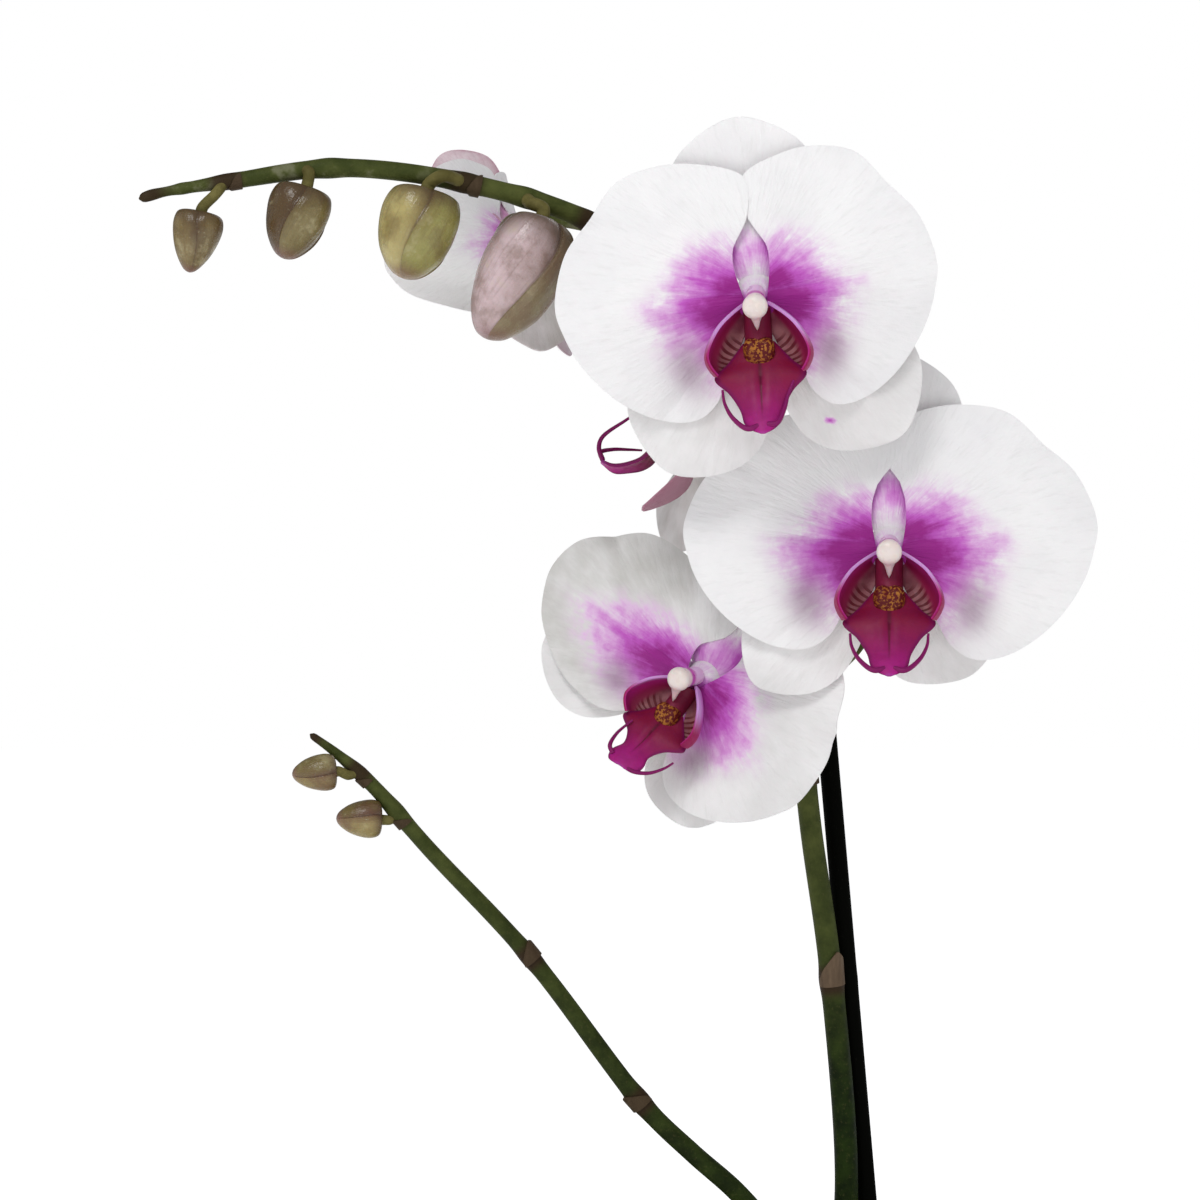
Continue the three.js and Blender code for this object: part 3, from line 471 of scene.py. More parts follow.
# Leaves. Five thick strap leaves in two ranks, each with a sunk midrib and a keel under it. They are
# leathery and a little waxy, darker above than below.
def thickened(grid, depth, front_mark, back_mark, hand=1):
    """A sheet of points made a closed shell, half its depth to each side, with marks for its two faces."""
    rows, columns = grid.shape[:2]
    facing = np.cross(grid[1:, 1:] - grid[:-1, :-1], grid[:-1, 1:] - grid[1:, :-1])
    normal = np.zeros(grid.shape)
    for part in (np.s_[:-1, :-1], np.s_[1:, :-1], np.s_[:-1, 1:], np.s_[1:, 1:]):
        normal[part] += facing
    normal /= np.maximum(np.linalg.norm(normal, axis=2, keepdims=True), 1e-9)
    half = normal * np.broadcast_to(depth, (rows, columns))[:, :, None] / 2
    back = rows * columns
    points = np.vstack([(grid + half).reshape(-1, 3), (grid - half).reshape(-1, 3)])
    marks = np.vstack([front_mark.reshape(back, -1), back_mark.reshape(back, -1)])
    faces = []
    for i in range(rows - 1):
        for a in range(i * columns, i * columns + columns - 1):
            faces.append((a, a + columns, a + columns + 1, a + 1))
            faces.append((a + back, a + 1 + back, a + columns + 1 + back, a + columns + back))
    number = np.arange(back).reshape(rows, columns)
    rim = [*number[:, 0], *number[-1, 1:], *number[-2::-1, -1], *number[0, -2:0:-1]]
    faces += [(a, a + back, b + back, b) for a, b in zip(rim, rim[1:] + rim[:1])]
    if hand < 0:
        points = points * [-1, 1, 1]
        faces = [face[::-1] for face in faces]
    return points, faces, marks


def together(shells):
    """Several shells as one list of points, faces and marks."""
    faces, start = [], 0
    for shell in shells:
        faces += [tuple(start + i for i in face) for face in shell[1]]
        start += len(shell[0])
    return np.vstack([shell[0] for shell in shells]), faces, np.vstack([shell[2] for shell in shells])


def bell(x, width):
    return np.exp(-((x / width) ** 2))


def apart(value):
    """How far a value is from nought."""
    return math_of("ABSOLUTE", value)


leaf_finish = new_finish("strap_leaf")
across, along, upper = parts_of(mark("blade"))
vein = noise(1.0, at=stretched(mark("blade"), (46.0, 2.0, 1.0)))
cloud = noise(26.0)
middle = between(apart(across), 0.0, 0.07)
top = blend(between(vein, 0.3, 0.7), (38, 72, 28), (58, 96, 38))
top = blend(middle, (34, 60, 24), blend(between(cloud, 0.4, 0.75), top, (74, 112, 46)))
top = blend(between(apart(across), 0.93, 1.0), top, (86, 104, 52))
under = blend(middle, (112, 136, 84), blend(between(vein, 0.3, 0.7), (86, 112, 66), (106, 130, 84)))
feed(shader, {"Base Color": coated(under, (upper, top), (between(along, 0.14, 0.0), (122, 128, 76))),
              "Roughness": between(cloud, 0.2, 0.8, 0.3, 0.44), "Coat Weight": 0.15, "Coat Roughness": 0.25})
relief(plus(times(vein, 0.8), times(noise(1300.0, 2.0), 0.35)), 0.0005, 0.5)

# A leaf points to its turn from +X. It rises by "rise" on its way out, and its end droops.
LEAVES = {
    "leaf_low_right": {"turn": 15, "z": 108.5, "length": 163.5, "width": 62, "rise": 16, "droop": 38},
    "leaf_low_left": {"turn": 192, "z": 109, "length": 172, "width": 60, "rise": 16, "droop": 38},
    "leaf_middle_right": {"turn": 3, "z": 117.5, "length": 138, "width": 56, "rise": 18, "droop": 8},
    "leaf_middle_left": {"turn": 176, "z": 121, "length": 126, "width": 52, "rise": 18, "droop": 4},
    "leaf_young": {"turn": 52, "z": 127, "length": 57, "width": 24, "rise": 14, "droop": 0},
}
LEAF_OUTLINE = [[0, 0.34], [0.06, 0.3], [0.16, 0.44], [0.3, 0.72], [0.48, 0.96], [0.62, 1], [0.76, 0.94],
                [0.88, 0.74], [0.96, 0.44], [0.99, 0.2], [1, 0.02]]
LEAF = {"foot": 3, "thickness": 2.4, "keel": 0.6, "groove": 0.9, "ripple": 0.7, "columns": 25}
outline = smooth_line([[s, w, 0] for s, w in LEAF_OUTLINE], 7)
s, share = outline[:, 0][:, None], np.clip(outline[:, 1], 0.02, 1)[:, None]
k = np.linspace(1, -1, LEAF["columns"])[None, :]
for number, (name, leaf) in enumerate(LEAVES.items()):
    turn = math.radians(leaf["turn"])
    ahead = np.array([math.cos(turn), math.sin(turn), 0.0])
    side = np.array([-ahead[1], ahead[0], 0.0])
    half = leaf["width"] * share / 2
    out = LEAF["foot"] + leaf["length"] * (s - 0.06 * s * s)
    arch = np.sin(np.pi * np.minimum(1, s * 0.95)) ** 0.9
    height = leaf["z"] + leaf["rise"] * arch - leaf["droop"] * s ** 3
    height = height + (0.16 + 0.75 * bell(s, 0.13)) * half * k * k
    height = height - LEAF["groove"] * bell(k, 0.06) * bell(s - 0.5, 0.5)
    ripple = np.abs(k) ** 3 * np.sin(s * 19 + number + np.where(k > 0, 0, 2.0)) * bell(s - 0.6, 0.35)
    height = height + LEAF["ripple"] * ripple
    grid = np.array([CROWN["x"], CROWN["y"], 0.0]) + ahead * out[:, :, None] + side * (k * half)[:, :, None]
    grid[:, :, 2] += height
    spread, travel = k + 0 * s, s + 0 * k
    depth = LEAF["thickness"] * (1 - 0.6 * np.abs(spread)) + LEAF["keel"] * bell(spread, 0.08)
    depth = depth * np.clip((1.02 - travel) / 0.1, 0.25, 1)
    above, below = (np.stack([spread, travel, spread * 0 + upper_face], -1) for upper_face in (1, 0))
    points, faces, marks = thickened(grid, depth, above, below)
    piece = skin(name + "_blade", points, faces, leaf_finish, {"blade": marks}, crease=60)
    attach(piece, "root")
    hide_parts(name)


# Spikes. The flowering spike arches up and left from the crown, and a younger one leans out on the
# left. Both are round green stems with a dry bract at each node, and carry the stalks of their flowers.
stem_finish = new_finish("spike_skin")
age, scale_skin, node_skin = parts_of(mark("growth"))
mottle, speckle = noise(150.0, 4.0), noise(1150.0, 3.0, 0.6)
streak = noise(700.0, at=place_on((1.0, 1.0, 0.12)))
mottled = between(mottle, 0.3, 0.72)
wax = times(between(mottle, 0.5, 0.64, 0.0, 0.6), between(age, 0.86, 0.94))
green = coated(blend(mottled, (14, 26, 5), (36, 52, 14)),
               (between(age, 0.03, 0.3), blend(mottled, (60, 68, 30), (88, 94, 48))),
               (between(age, 1.2, 1.8), blend(mottled, (92, 86, 46), (124, 116, 68))),
               (between(speckle, 0.56, 0.7, 0.0, 0.25), (88, 84, 50)),
               (times(wax, between(age, 1.3, 1.05)), (128, 128, 104)),
               (between(node_skin, 0.2, 0.85, 0.0, 0.9), (54, 38, 27)))
dry = blend(streak, (66, 52, 40), (124, 104, 84))
feed(shader, {"Base Color": blend(scale_skin, green, dry), "Roughness": between(mottle, 0.2, 0.8, 0.46, 0.62),
              "Specular IOR Level": 0.08})
relief(plus(speckle, times(streak, 0.6)), 0.00025, 0.6)

SPIKE = [[-13, 14, 112], [-11.6, 7.6, 126], [-8.1, 0, 154.2], [-12.6, -4, 217.1], [-18.6, -8, 259.2],
         [-21.7, -11, 288.4], [-24.4, -14, 321.6], [-29, -18, 354.5], [-39.4, -24, 384.3],
         [-56.7, -32, 406.7], [-79.7, -40, 422.7], [-110.1, -48, 431.6], [-144.8, -52, 435.6],
         [-173.6, -56, 431.6], [-192.2, -58.5, 428.2], [-197.5, -60, 426.4]]
SIDE_SPIKE = [[-18, 15, 113], [-22, 6, 126], [-28.6, -6.4, 144], [-39, -16, 158.4], [-51.6, -19, 170],
              [-64.7, -22, 183.1], [-96, -28, 224.8], [-122.9, -33, 254.2], [-138.8, -36, 272.4],
              [-148.1, -38, 280.8], [-154.7, -39, 285.7]]
SPIKE_NODES = [0.06, 0.232, 0.362, 0.405, 0.475, 0.62, 0.735, 0.775, 0.812, 0.89, 0.95]
SIDE_NODES = [0.42, 0.635, 0.865, 0.93]
# A bloom's stalk leaves the spike at "node", a share of its length, and bows out by "swing". Each of its
# petals, left and right, and sepals, top, left and right, has a turn from its own side of the bloom, and
# then what sets it apart: how long and broad it is, how it leans or twists, how deeply it is dyed and how
# much painted shade greys it.
BLOOMS = {
    "top": {
        "at": [-36.8, -72, 400.7], "yaw": 4.5, "nod": 14, "roll": -4, "size": 0.97, "node": 0.62,
        "swing": [0, 4, -6], "wave": 0.4,
        "petals": [{"turn": -7, "long": 0.98, "broad": 1.02}, {"turn": -2, "long": 0.875, "broad": 1.02}],
        "sepals": [{"turn": 93, "long": 0.91, "broad": 1.08}, {"turn": -60, "long": 1.1, "broad": 1.1},
                   {"turn": -49, "long": 1.1, "broad": 1.08, "foot": 0.6, "fleck": (35.5, -10.6)}],
    },
    "right": {
        "at": [-0.2, -46, 336.2], "yaw": 5, "nod": 2, "roll": 0, "size": 1.0, "node": 0.405,
        "swing": [6, 2, -4], "wave": 2.1,
        "petals": [{"turn": -1, "broad": 0.96, "low": 0.93, "open": 2.6}, {"turn": 0, "open": 2.6}],
        "sepals": [{"turn": 90, "long": 1.03, "broad": 1.1, "flush": 0.46, "flush_at": 14},
                   {"turn": -46, "long": 1.03, "broad": 0.85}, {"turn": -58, "long": 0.82, "lean": -5}],
    },
    "left": {
        "at": [-49.3, -17, 300.2], "yaw": 26, "nod": -6, "roll": 28, "size": 0.97, "lip": 0.88, "node": 0.362,
        "swing": [4, 4, -4], "wave": 3.6,
        "petals": [{"turn": -2, "long": 1.1, "broad": 0.97, "painted_shade": 0.75, "slope": 0.3, "low": 0.74,
                    "dyed": 1.4, "faint": 0.85},
                   {"turn": -28, "long": 0.835, "lean": 4, "painted_shade": 0.3, "low": 0.86, "dyed": 1.15,
                    "faint": 0.85}],
        "sepals": [{"turn": 90, "lean": 8, "foot": 1.1, "flush": 0.5, "flush_at": 8},
                   {"turn": -18, "long": 1.1}, {"turn": -69, "long": 0.84, "broad": 0.9}],
    },
    "behind": {
        "at": [-49.7, 22, 387], "yaw": 92, "nod": -10, "roll": -12, "size": 0.92, "node": 0.475,
        "swing": [10, 10, 4], "wave": 5.1,
        "petals": [{"turn": 0, "long": 0.95}, {"turn": -4, "long": 0.85}],
        "sepals": [{"turn": 90}, {"turn": -74, "lean": 3, "long": 1.12, "spin": 34, "painted_shade": 0.8},
                   {"turn": -76, "lean": 5, "curl": 11, "spin": 5, "broad": 0.45, "pink": 3.2}],
    },
    "opening": {
        "at": [-100, 4, 423], "yaw": 118, "nod": 25, "roll": 0, "size": 0.72, "lip": 0.8, "node": 0.735,
        "swing": [10, 6, -2], "wave": 1.2,
        "petals": [{"turn": -8, "long": 0.86, "broad": 0.92, "lift": 5, "lean": 30},
                   {"turn": -4, "long": 0.88, "broad": 0.96, "lift": 5, "lean": 28}],
        "sepals": [{"turn": 84, "lift": 18, "lean": 7, "spin": -40, "broad": 0.86, "long": 0.94, "pink": 1.0,
                    "inner": 0.6},
                   {"turn": -64, "lift": 6, "lean": 10},
                   {"turn": -74, "lift": 4, "lean": 6, "spin": 40, "pink": 0.25, "painted_shade": 0.9}],
    },
}
# A bud points along "tip", and its stalk bows out by "bow".
BUDS = {
    "bud_ripe": {"at": [-98, -52, 405], "tip": [-9, -3, -30], "length": 36, "girth": 24, "bend": 3.4,
                 "node": 0.775, "bow": [-1, -1.5, 0]},
    "bud_large": {"at": [-125.4, -55, 417.5], "tip": [-5, -2, -20], "length": 24, "girth": 22,
                  "node": 0.812, "bow": [-1, -4, 1.5]},
    "bud_middle": {"at": [-157, -57, 420.3], "tip": [-6, -2, -20], "length": 19.5, "girth": 17.4,
                   "taper": 0.2, "node": 0.905, "bow": [1, -1, 1]},
    "bud_small": {"at": [-182.8, -60, 415], "tip": [-4, -1, -20], "length": 16, "girth": 13.4, "taper": 0.5,
                  "node": 0.95, "bow": [0.5, -1, 0]},
    "side_bud_upper": {"at": [-153.4, -41.5, 275.4], "tip": [-20, -4, -1], "length": 11.7, "girth": 10.3,
                       "taper": 0.35, "node": 0.93, "bow": [0, 0, -1]},
    "side_bud_lower": {"at": [-141.8, -37, 262.8], "tip": [-20, -4, 1], "length": 12.1, "girth": 10.9,
                       "taper": 0.35, "node": 0.865, "bow": [0, 0, -1]},
}


def bloom_place(bloom):
    """The three directions of a bloom's own frame, scaled, and the point that it is drawn round."""
    yaw, nod, roll = (math.radians(bloom[key]) for key in ("yaw", "nod", "roll"))
    facing = np.array([-math.sin(yaw) * math.cos(nod), -math.cos(yaw) * math.cos(nod), -math.sin(nod)])
    side = np.cross([0, 0, 1], facing)
    side /= np.linalg.norm(side)
    up = np.cross(facing, side)
    y = up * math.cos(roll) + side * math.sin(roll)
    return np.vstack([np.cross(y, facing), y, facing]) * bloom["size"], np.array(bloom["at"], float)


def swelling(nodes, share, reach):
    """Bumps of height 1 at the nodes, by shares of the length."""
    return sum(bell(share - node, reach) for node in nodes)


def on_line(line, share):
    """The point of an even line at a share of its length, and the direction there."""
    at = share * (len(line) - 1)
    low = min(int(at), len(line) - 2)
    ahead = line[low + 1] - line[low]
    return line[low] + ahead * (at - low), ahead / np.linalg.norm(ahead)


def stalk_line(points, radius_at, age, count=60):
    """A stalk's even line, its radius and its marks, with a ring where it leaves the spike."""
    line, length = evenly(smooth_line(points, 20), count)
    share = np.linspace(0, 1, count)
    ring = bell(share * length - 2.5, 1.6)
    return line, radius_at(share), np.column_stack([np.full(count, age), np.zeros(count), 0.4 * ring])


BRACT = {"thickness": 0.6, "below_node": 1.5, "rows": 22, "columns": 17}


def bract(line, share, radius, towards, height=8.0, wrap=100.0, flare=0.7, dry=1.0):
    """A slender scale that wraps the stem at a node and runs out to a point as it rises."""
    foot, ahead = on_line(line, share)
    side = np.asarray(towards, float)
    side = side - ahead * side.dot(ahead)
    side /= np.linalg.norm(side)
    rise = np.linspace(0, 1, BRACT["rows"])[:, None]
    k = np.linspace(1, -1, BRACT["columns"])[None, :]
    angle = math.radians(wrap) * np.clip(1 - 0.98 * rise ** 1.7, 0.02, 1) * k / 2
    reach = radius + 0.2 * dry + flare * rise ** 1.5
    grid = (foot + ahead * (height * rise - BRACT["below_node"] + 0 * k)[:, :, None]
            + side * (reach * np.cos(angle))[:, :, None]
            + np.cross(ahead, side) * (reach * np.sin(angle))[:, :, None])
    growth = np.broadcast_to(np.array([0.5, dry, 1.0]), grid.shape)
    return thickened(grid, BRACT["thickness"], growth, growth)


STALK = {"straight": 15, "in_hub": 4.0}


def bloom_stalk(bloom):
    basis, at = bloom_place(bloom)
    start, _ = on_line(spike_line, bloom["node"])
    behind = [at - basis[2] * STALK["straight"], at - basis[2] * STALK["in_hub"]]
    waist = start * 0.55 + (at - basis[2] * (STALK["straight"] + 1)) * 0.45 + np.array(bloom["swing"])
    return stalk_line([start, waist, *behind], lambda s: 1.5 + 0.5 * s ** 2 + 0.8 * bell(s - 1, 0.08), 1.0)


def bud_stalk(line, bud):
    start, _ = on_line(line, bud["node"])
    along = np.array(bud["tip"], float) / np.linalg.norm(bud["tip"])
    foot = np.array(bud["at"]) - along * bud["length"] * 0.44
    before = foot - along * bud["length"] * 0.14
    thick = 0.98 + 0.034 * bud["girth"]
    waist = (start + before) / 2 + np.array(bud["bow"])
    return stalk_line([start, waist, before, foot], lambda s: thick * (1 + 0.12 * bell(s - 1, 0.2)), 2.0)


SPIKE_POINTS, SIDE_POINTS = 620, 320
spike_share, side_share = np.linspace(0, 1, SPIKE_POINTS), np.linspace(0, 1, SIDE_POINTS)
spike_line, spike_length = evenly(smooth_line(SPIKE, 30), SPIKE_POINTS)
side_line, side_length = evenly(smooth_line(SIDE_SPIKE, 30), SIDE_POINTS)
spike_radius = 3.4 - 1.1 * spike_share - 1.2 * bell(spike_share - 1, 0.05)
spike_radius = spike_radius * (1 + 0.14 * swelling(SPIKE_NODES, spike_share, 0.008))
spike_radius = spike_radius + 0.35 * bell(spike_share - 0.993, 0.006) + 0.2 * bell(spike_share - 0.975, 0.004)
side_radius = 3 - 1.1 * side_share - 0.9 * bell(side_share - 1, 0.06)
side_radius = side_radius * (1 + 0.16 * swelling(SIDE_NODES, side_share, 0.016))

SMOOTH_NODES = [0.775, 0.89]  # hardly browned
spike_brown = swelling(SPIKE_NODES, spike_share, 0.011) - 0.85 * swelling(SMOOTH_NODES, spike_share, 0.011)
spike_marks = np.column_stack([np.clip((spike_share - 0.12) / 0.8, 0, 1), spike_share * 0,
                               spike_brown + bell(spike_share - 1, 0.02)])
side_brown = swelling(SIDE_NODES + [1.0], side_share, 0.018) - 0.7 * bell(side_share - 0.865, 0.018)
side_marks = np.column_stack([0.02 + 0.24 * side_share, side_share * 0, side_brown])

LOW_RING = {"wrap": 200, "flare": 0.05, "dry": 0.3}
OLD_SCALE = {"height": 5.4, "wrap": 235, "flare": 0.08, "dry": 0.3}
spike_bracts = [bract(spike_line, SPIKE_NODES[0], 3.4, [-1, -0.6, 0]),
                bract(spike_line, SPIKE_NODES[1], 3.2, [0.6, -0.8, 0], height=9.6, wrap=215, flare=0.35)]
for share, towards in ((0.362, [0.3, -1, 0]), (0.405, [1, -0.5, 0]), (0.475, [1, 0.2, 0.5]),
                       (0.62, [0.6, -0.7, 0.4]), (0.735, [0, 1, 0.4]), (0.812, [0, -0.8, -0.6]),
                       (0.95, [0, -0.6, -1])):
    radius = float(np.interp(share, spike_share, spike_radius))
    spike_bracts.append(bract(spike_line, share - 0.006, radius, towards, height=3.6, **LOW_RING))
side_bracts = [bract(side_line, SIDE_NODES[0], 3.0, [-1, -0.9, -0.4], **OLD_SCALE),
               bract(side_line, SIDE_NODES[1], 2.75, [0.8, -0.7, 0.8], **OLD_SCALE)]
for share, towards in ((0.865, [-0.4, -0.6, -1]), (0.93, [-0.6, -0.5, -1])):
    radius = float(np.interp(share, side_share, side_radius))
    side_bracts.append(bract(side_line, share - 0.012, radius, towards, height=3.2, **LOW_RING))


def bract_piece(name, bracts):
    points, faces, marks = together(bracts)
    return skin(name, points, faces, stem_finish, {"growth": marks}, crease=50)


spike_stalks = [bloom_stalk(bloom) for bloom in BLOOMS.values()]
side_stalks = []
for name, bud in BUDS.items():
    if name.startswith("side"):
        side_stalks.append(bud_stalk(side_line, bud))
    else:
        spike_stalks.append(bud_stalk(spike_line, bud))
spike_stem = (spike_line, blunt(spike_radius, spike_length, 1.6), spike_marks)
side_stem = (side_line, blunt(side_radius, side_length, 1.6), side_marks)
flower_spike = [stem_piece("flower_spike_stem", [spike_stem], 32, stem_finish),
                stem_piece("flower_stalks", spike_stalks, 20, stem_finish),
                bract_piece("flower_spike_bracts", spike_bracts)]
side_spike = [stem_piece("side_spike_stem", [side_stem], 28, stem_finish),
              stem_piece("side_stalks", side_stalks, 16, stem_finish),
              bract_piece("side_spike_bracts", side_bracts)]
for name, pieces in (("flower_spike", flower_spike), ("side_spike", side_spike)):
    for piece in pieces:
        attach(piece, "root")
        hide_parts(name)


# Stake. A slim round cane, stained almost black, pushed into the bark beside the crown. Its top end
# is rounded off.
stake_finish = new_finish("black_cane")
grain, dust = noise(1100.0, at=place_on((1.0, 1.0, 0.06))), noise(1500.0, 2.0)
black = coated(blend(grain, (2, 3, 1), (9, 9, 7)), (between(dust, 0.66, 0.78, 0.0, 0.3), (40, 40, 32)))
feed(shader, {"Base Color": black, "Roughness": between(grain, 0.2, 0.8, 0.6, 0.75),
              "Specular IOR Level": 0.02})
relief(grain, 0.0002, 0.5)

STAKE = {"radius": 2.75, "foot": [10.2, 12.4, 20.0], "head": [-17.9, -5.4, 330.0], "points": 400,
         "knots": [0.34, 0.63, 0.9]}
line, length = evenly(np.array([STAKE["foot"], STAKE["head"]], float), STAKE["points"])
share = np.linspace(0, 1, STAKE["points"])
knots = 1 + 0.03 * swelling(STAKE["knots"], share, 0.006)
radius = blunt(np.full(STAKE["points"], STAKE["radius"]), length, 1.8) * knots
marks = np.column_stack([share, share * 0, share * 0])
stake_cane = stem_piece("stake_cane", [(line, radius, marks)], 28, stake_finish)
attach(stake_cane, "root")
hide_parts("stake")


# Clip. A small springy clip of moulded green plastic holds the spike to the stake. It is squeezed open
# by its two finger tabs.
clip_finish = new_finish("moulded_green")
grit, flow = noise(2200.0, 2.0), noise(180.0)
feed(shader, {"Base Color": blend(flow, (36, 66, 32), (54, 88, 46)),
              "Roughness": between(grit, 0.2, 0.8, 0.34, 0.52)})
relief(grit, 0.0001, 0.4)

CLIP = {"z": 309.0, "height": 5.0, "wall": 1.4, "play": 0.5, "tilt": -4.5}
BELOW_ARCH = 400  # so many of the spike's points lie below its arch
TAB = {"thick": 1.3, "tall": 5.0, "long": 6.5, "from_middle": 2.2, "splay": 0.12}
stake_share = (CLIP["z"] - STAKE["foot"][2]) / (STAKE["head"][2] - STAKE["foot"][2])
stake_middle = np.array(STAKE["foot"]) * (1 - stake_share) + np.array(STAKE["head"]) * stake_share
nearest = int(np.argmin(np.abs(spike_line[:BELOW_ARCH, 2] - CLIP["z"])))
stem_middle = spike_line[nearest]
clip_middle = (stem_middle + stake_middle) / 2
away = (stake_middle - stem_middle) * [1, 1, 0]
half_way = np.linalg.norm(away) / 2
inner_radius = max(spike_radius[nearest], STAKE["radius"]) + CLIP["play"]


def clip_ring(radius, height, steps=20):
    """A loop round both stems: half a circle at each of them."""
    return [(side * half_way + radius * math.cos(a), radius * math.sin(a), height)
            for side, first in ((1, -np.pi / 2), (-1, np.pi / 2))
            for a in np.linspace(first, first + np.pi, steps)]


wall, tall = CLIP["wall"], CLIP["height"] / 2
rings = [(wall - 0.35, -tall), (wall, -tall + 0.35), (wall, tall - 0.35), (wall - 0.35, tall),
         (0.3, tall), (0, tall - 0.3), (0, -tall + 0.3), (0.3, -tall)]
points = np.vstack([clip_ring(inner_radius + beyond, height) for beyond, height in rings])
around, faces = len(points) // len(rings), []
for i in range(len(rings)):
    for j in range(around):
        a, b = (row % len(rings) * around for row in (i, i + 1))
        faces.append((a + j, a + (j + 1) % around, b + (j + 1) % around, b + j))
for hand in (-1, 1):
    start, low, high = len(points), inner_radius + wall - 0.6, inner_radius + wall / 2 + TAB["long"]
    tab = []
    for y, x_half, z_half in ((low, TAB["thick"] / 2, 2.2), (high - 0.8, TAB["thick"] / 2, TAB["tall"] / 2),
                              (high, 0.4, 2.1)):
        for x, z in ((-x_half, -z_half), (x_half, -z_half), (x_half, z_half), (-x_half, z_half)):
            tab.append((hand * TAB["from_middle"] + x + hand * TAB["splay"] * (y - low), y, z))
    points = np.vstack([points, tab])
    quads = [(3, 2, 1, 0), (8, 9, 10, 11)]
    for i in (0, 4):
        quads += [(i + j, i + (j + 1) % 4, i + 4 + (j + 1) % 4, i + 4 + j) for j in range(4)]
    faces += [tuple(start + q for q in quad) for quad in quads]
across = Matrix.Rotation(math.atan2(away[1], away[0]), 3, "Z")
tilted = Matrix.Rotation(math.radians(CLIP["tilt"]), 3, "Y") @ across
points = points @ np.array(tilted).T + [clip_middle[0], clip_middle[1], CLIP["z"]]
spring_clip = skin("spring_clip", points, faces, clip_finish, crease=35)
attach(spring_clip, "root")
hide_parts("stake_clip")


# Petals and sepals. Each bloom has two broad petals in front of three narrower sepals, all joined in a
# hub at the stalk. They are soft and waxy white, with magenta that streaks out along their veins.
def rays(angle_scale, radius_scale, detail, roughness=0.55):
    """Uneven streaks that run out from the bloom's middle."""
    place = add("CombineXYZ", {0: times(angle, angle_scale), 1: times(radius, radius_scale)}).outputs[0]
    return noise(1.0, detail, roughness, place)


petal_finish = new_finish("white_petal")
angle, radius, flush = parts_of(mark("flesh"))
pinkness, painted_lilac_shade, painted_shade = parts_of(mark("blush_and_painted_shade"))
ray, fine_ray = rays(9.0, 4.0, 4.0, 0.6), rays(34.0, 7.0, 3.0)
cell, blot, cloud = noise(2400.0, 2.0), noise(170.0, 5.0, 0.65), noise(40.0)
uneven = math_of("SUBTRACT", plus(plus(times(ray, 0.55), times(fine_ray, 0.25)), times(blot, 0.8)), 0.8)
dye = plus(flush, times(uneven, between(flush, 0.0, 0.3)))
patchy = between(plus(times(ray, 0.5), cloud), 0.5, 1.0, 0.25, 1.0)
feed(shader, {
    "Base Color": coated(blend(between(cloud, 0.3, 0.75), (250, 249, 249), (241, 240, 241)),
                         (between(fine_ray, 0.5, 0.75, 0.0, 0.35), (230, 229, 228)),
                         # Painted shade: a warm grey where the painted_shade mark asks for it, at the foot of
                         # the side sepals by the lip and on petals that face away from the lamps.
                         (times(painted_shade, patchy), (194, 193, 186)),
                         (between(dye, 0.04, 0.3), (236, 206, 236)),
                         (between(dye, 0.2, 0.52), (220, 152, 220)),
                         (between(dye, 0.42, 0.78), (198, 90, 198)),
                         (between(dye, 0.7, 1.1), (160, 30, 142)),
                         # Painted shade: a greyish lilac on the lower petals beside the lip.
                         (times(painted_lilac_shade, between(ray, 0.2, 0.7, 0.7, 1.0)), (172, 150, 168)),
                         (times(pinkness, between(blot, 0.25, 0.7, 0.6, 1.0)), (188, 132, 152))),
    "Roughness": between(cell, 0.2, 0.8, 0.44, 0.6), "Specular IOR Level": 0.25, "Subsurface Weight": 0.1,
    "Subsurface Radius": (1.0, 0.75, 0.85), "Subsurface Scale": 0.0012})
relief(plus(plus(times(fine_ray, 0.6), times(ray, 0.7)), times(cell, 0.1)), 0.0011, 0.5)

PETAL_LOWER = [[3, -3], [6, -8.5], [9.5, -15], [12.8, -20.5], [16.2, -26.6], [22, -30.4], [30, -30],
               [38, -25.8], [45.5, -18.8], [51.6, -9.3], [54.4, 0]]
PETAL_UPPER = [[4, 3], [4.5, 8], [3.7, 12.6], [0.8, 16.4], [-1.5, 19.6], [-3, 30], [9, 35.8], [19.5, 37.2],
               [31.5, 35], [41, 26.5], [49, 19.4], [54, 9.5]]
PETAL_TIP = [55.0, 4.6]
PETAL_MIDDLE = [20.0, 2.0]
SEPAL_SIDE = [[1.5, 2.6], [9, 6.4], [17, 11.6], [26, 16.2], [34, 17.8], [41, 15.6], [46.5, 10], [50, 3.4]]
SEPAL_TIP = [50.6, 0.0]


def above_midrib(x, y):
    return y - 0.13 * x + 0.5


def petal_height(x, y, wave):
    above = above_midrib(x, y)
    fold = 2.4 * bell(x - 17, 19) * (1 - bell(above, 6)) * np.where(above < 0, 1, 0.35)
    reach = np.hypot(x, y)
    bearing = np.arctan2(y, x)
    groove = 0.8 * bell(above - 0.3, 1.3) * np.clip((x - 4) / 6, 0, 1) * np.clip((46 - x) / 20, 0, 1)
    ripple = 1.9 * (reach / 55) ** 2.5 * np.sin(4.5 * bearing + wave)
    frill = 0.6 * (reach / 55) ** 5 * np.sin(12 * bearing + 3 * wave)
    pleat = 1.6 * bell(y - 0.62 * x, 2.6) * bell(reach - 50, 8)
    pleat = pleat + 1.1 * bell(y + 0.9 * x, 3) * bell(reach - 38, 11)
    return 1.8 - fold - 0.0019 * reach * reach + ripple + frill - pleat - groove


def sepal_height(x, y, wave):
    keel = 1.2 * bell(y, 5) * bell(x - 24, 20)
    ripple = 0.9 * (x / 50) ** 2 * np.sin(y / 5 + wave)
    return -2.3 + keel - 0.0019 * (x * x + y * y) + ripple


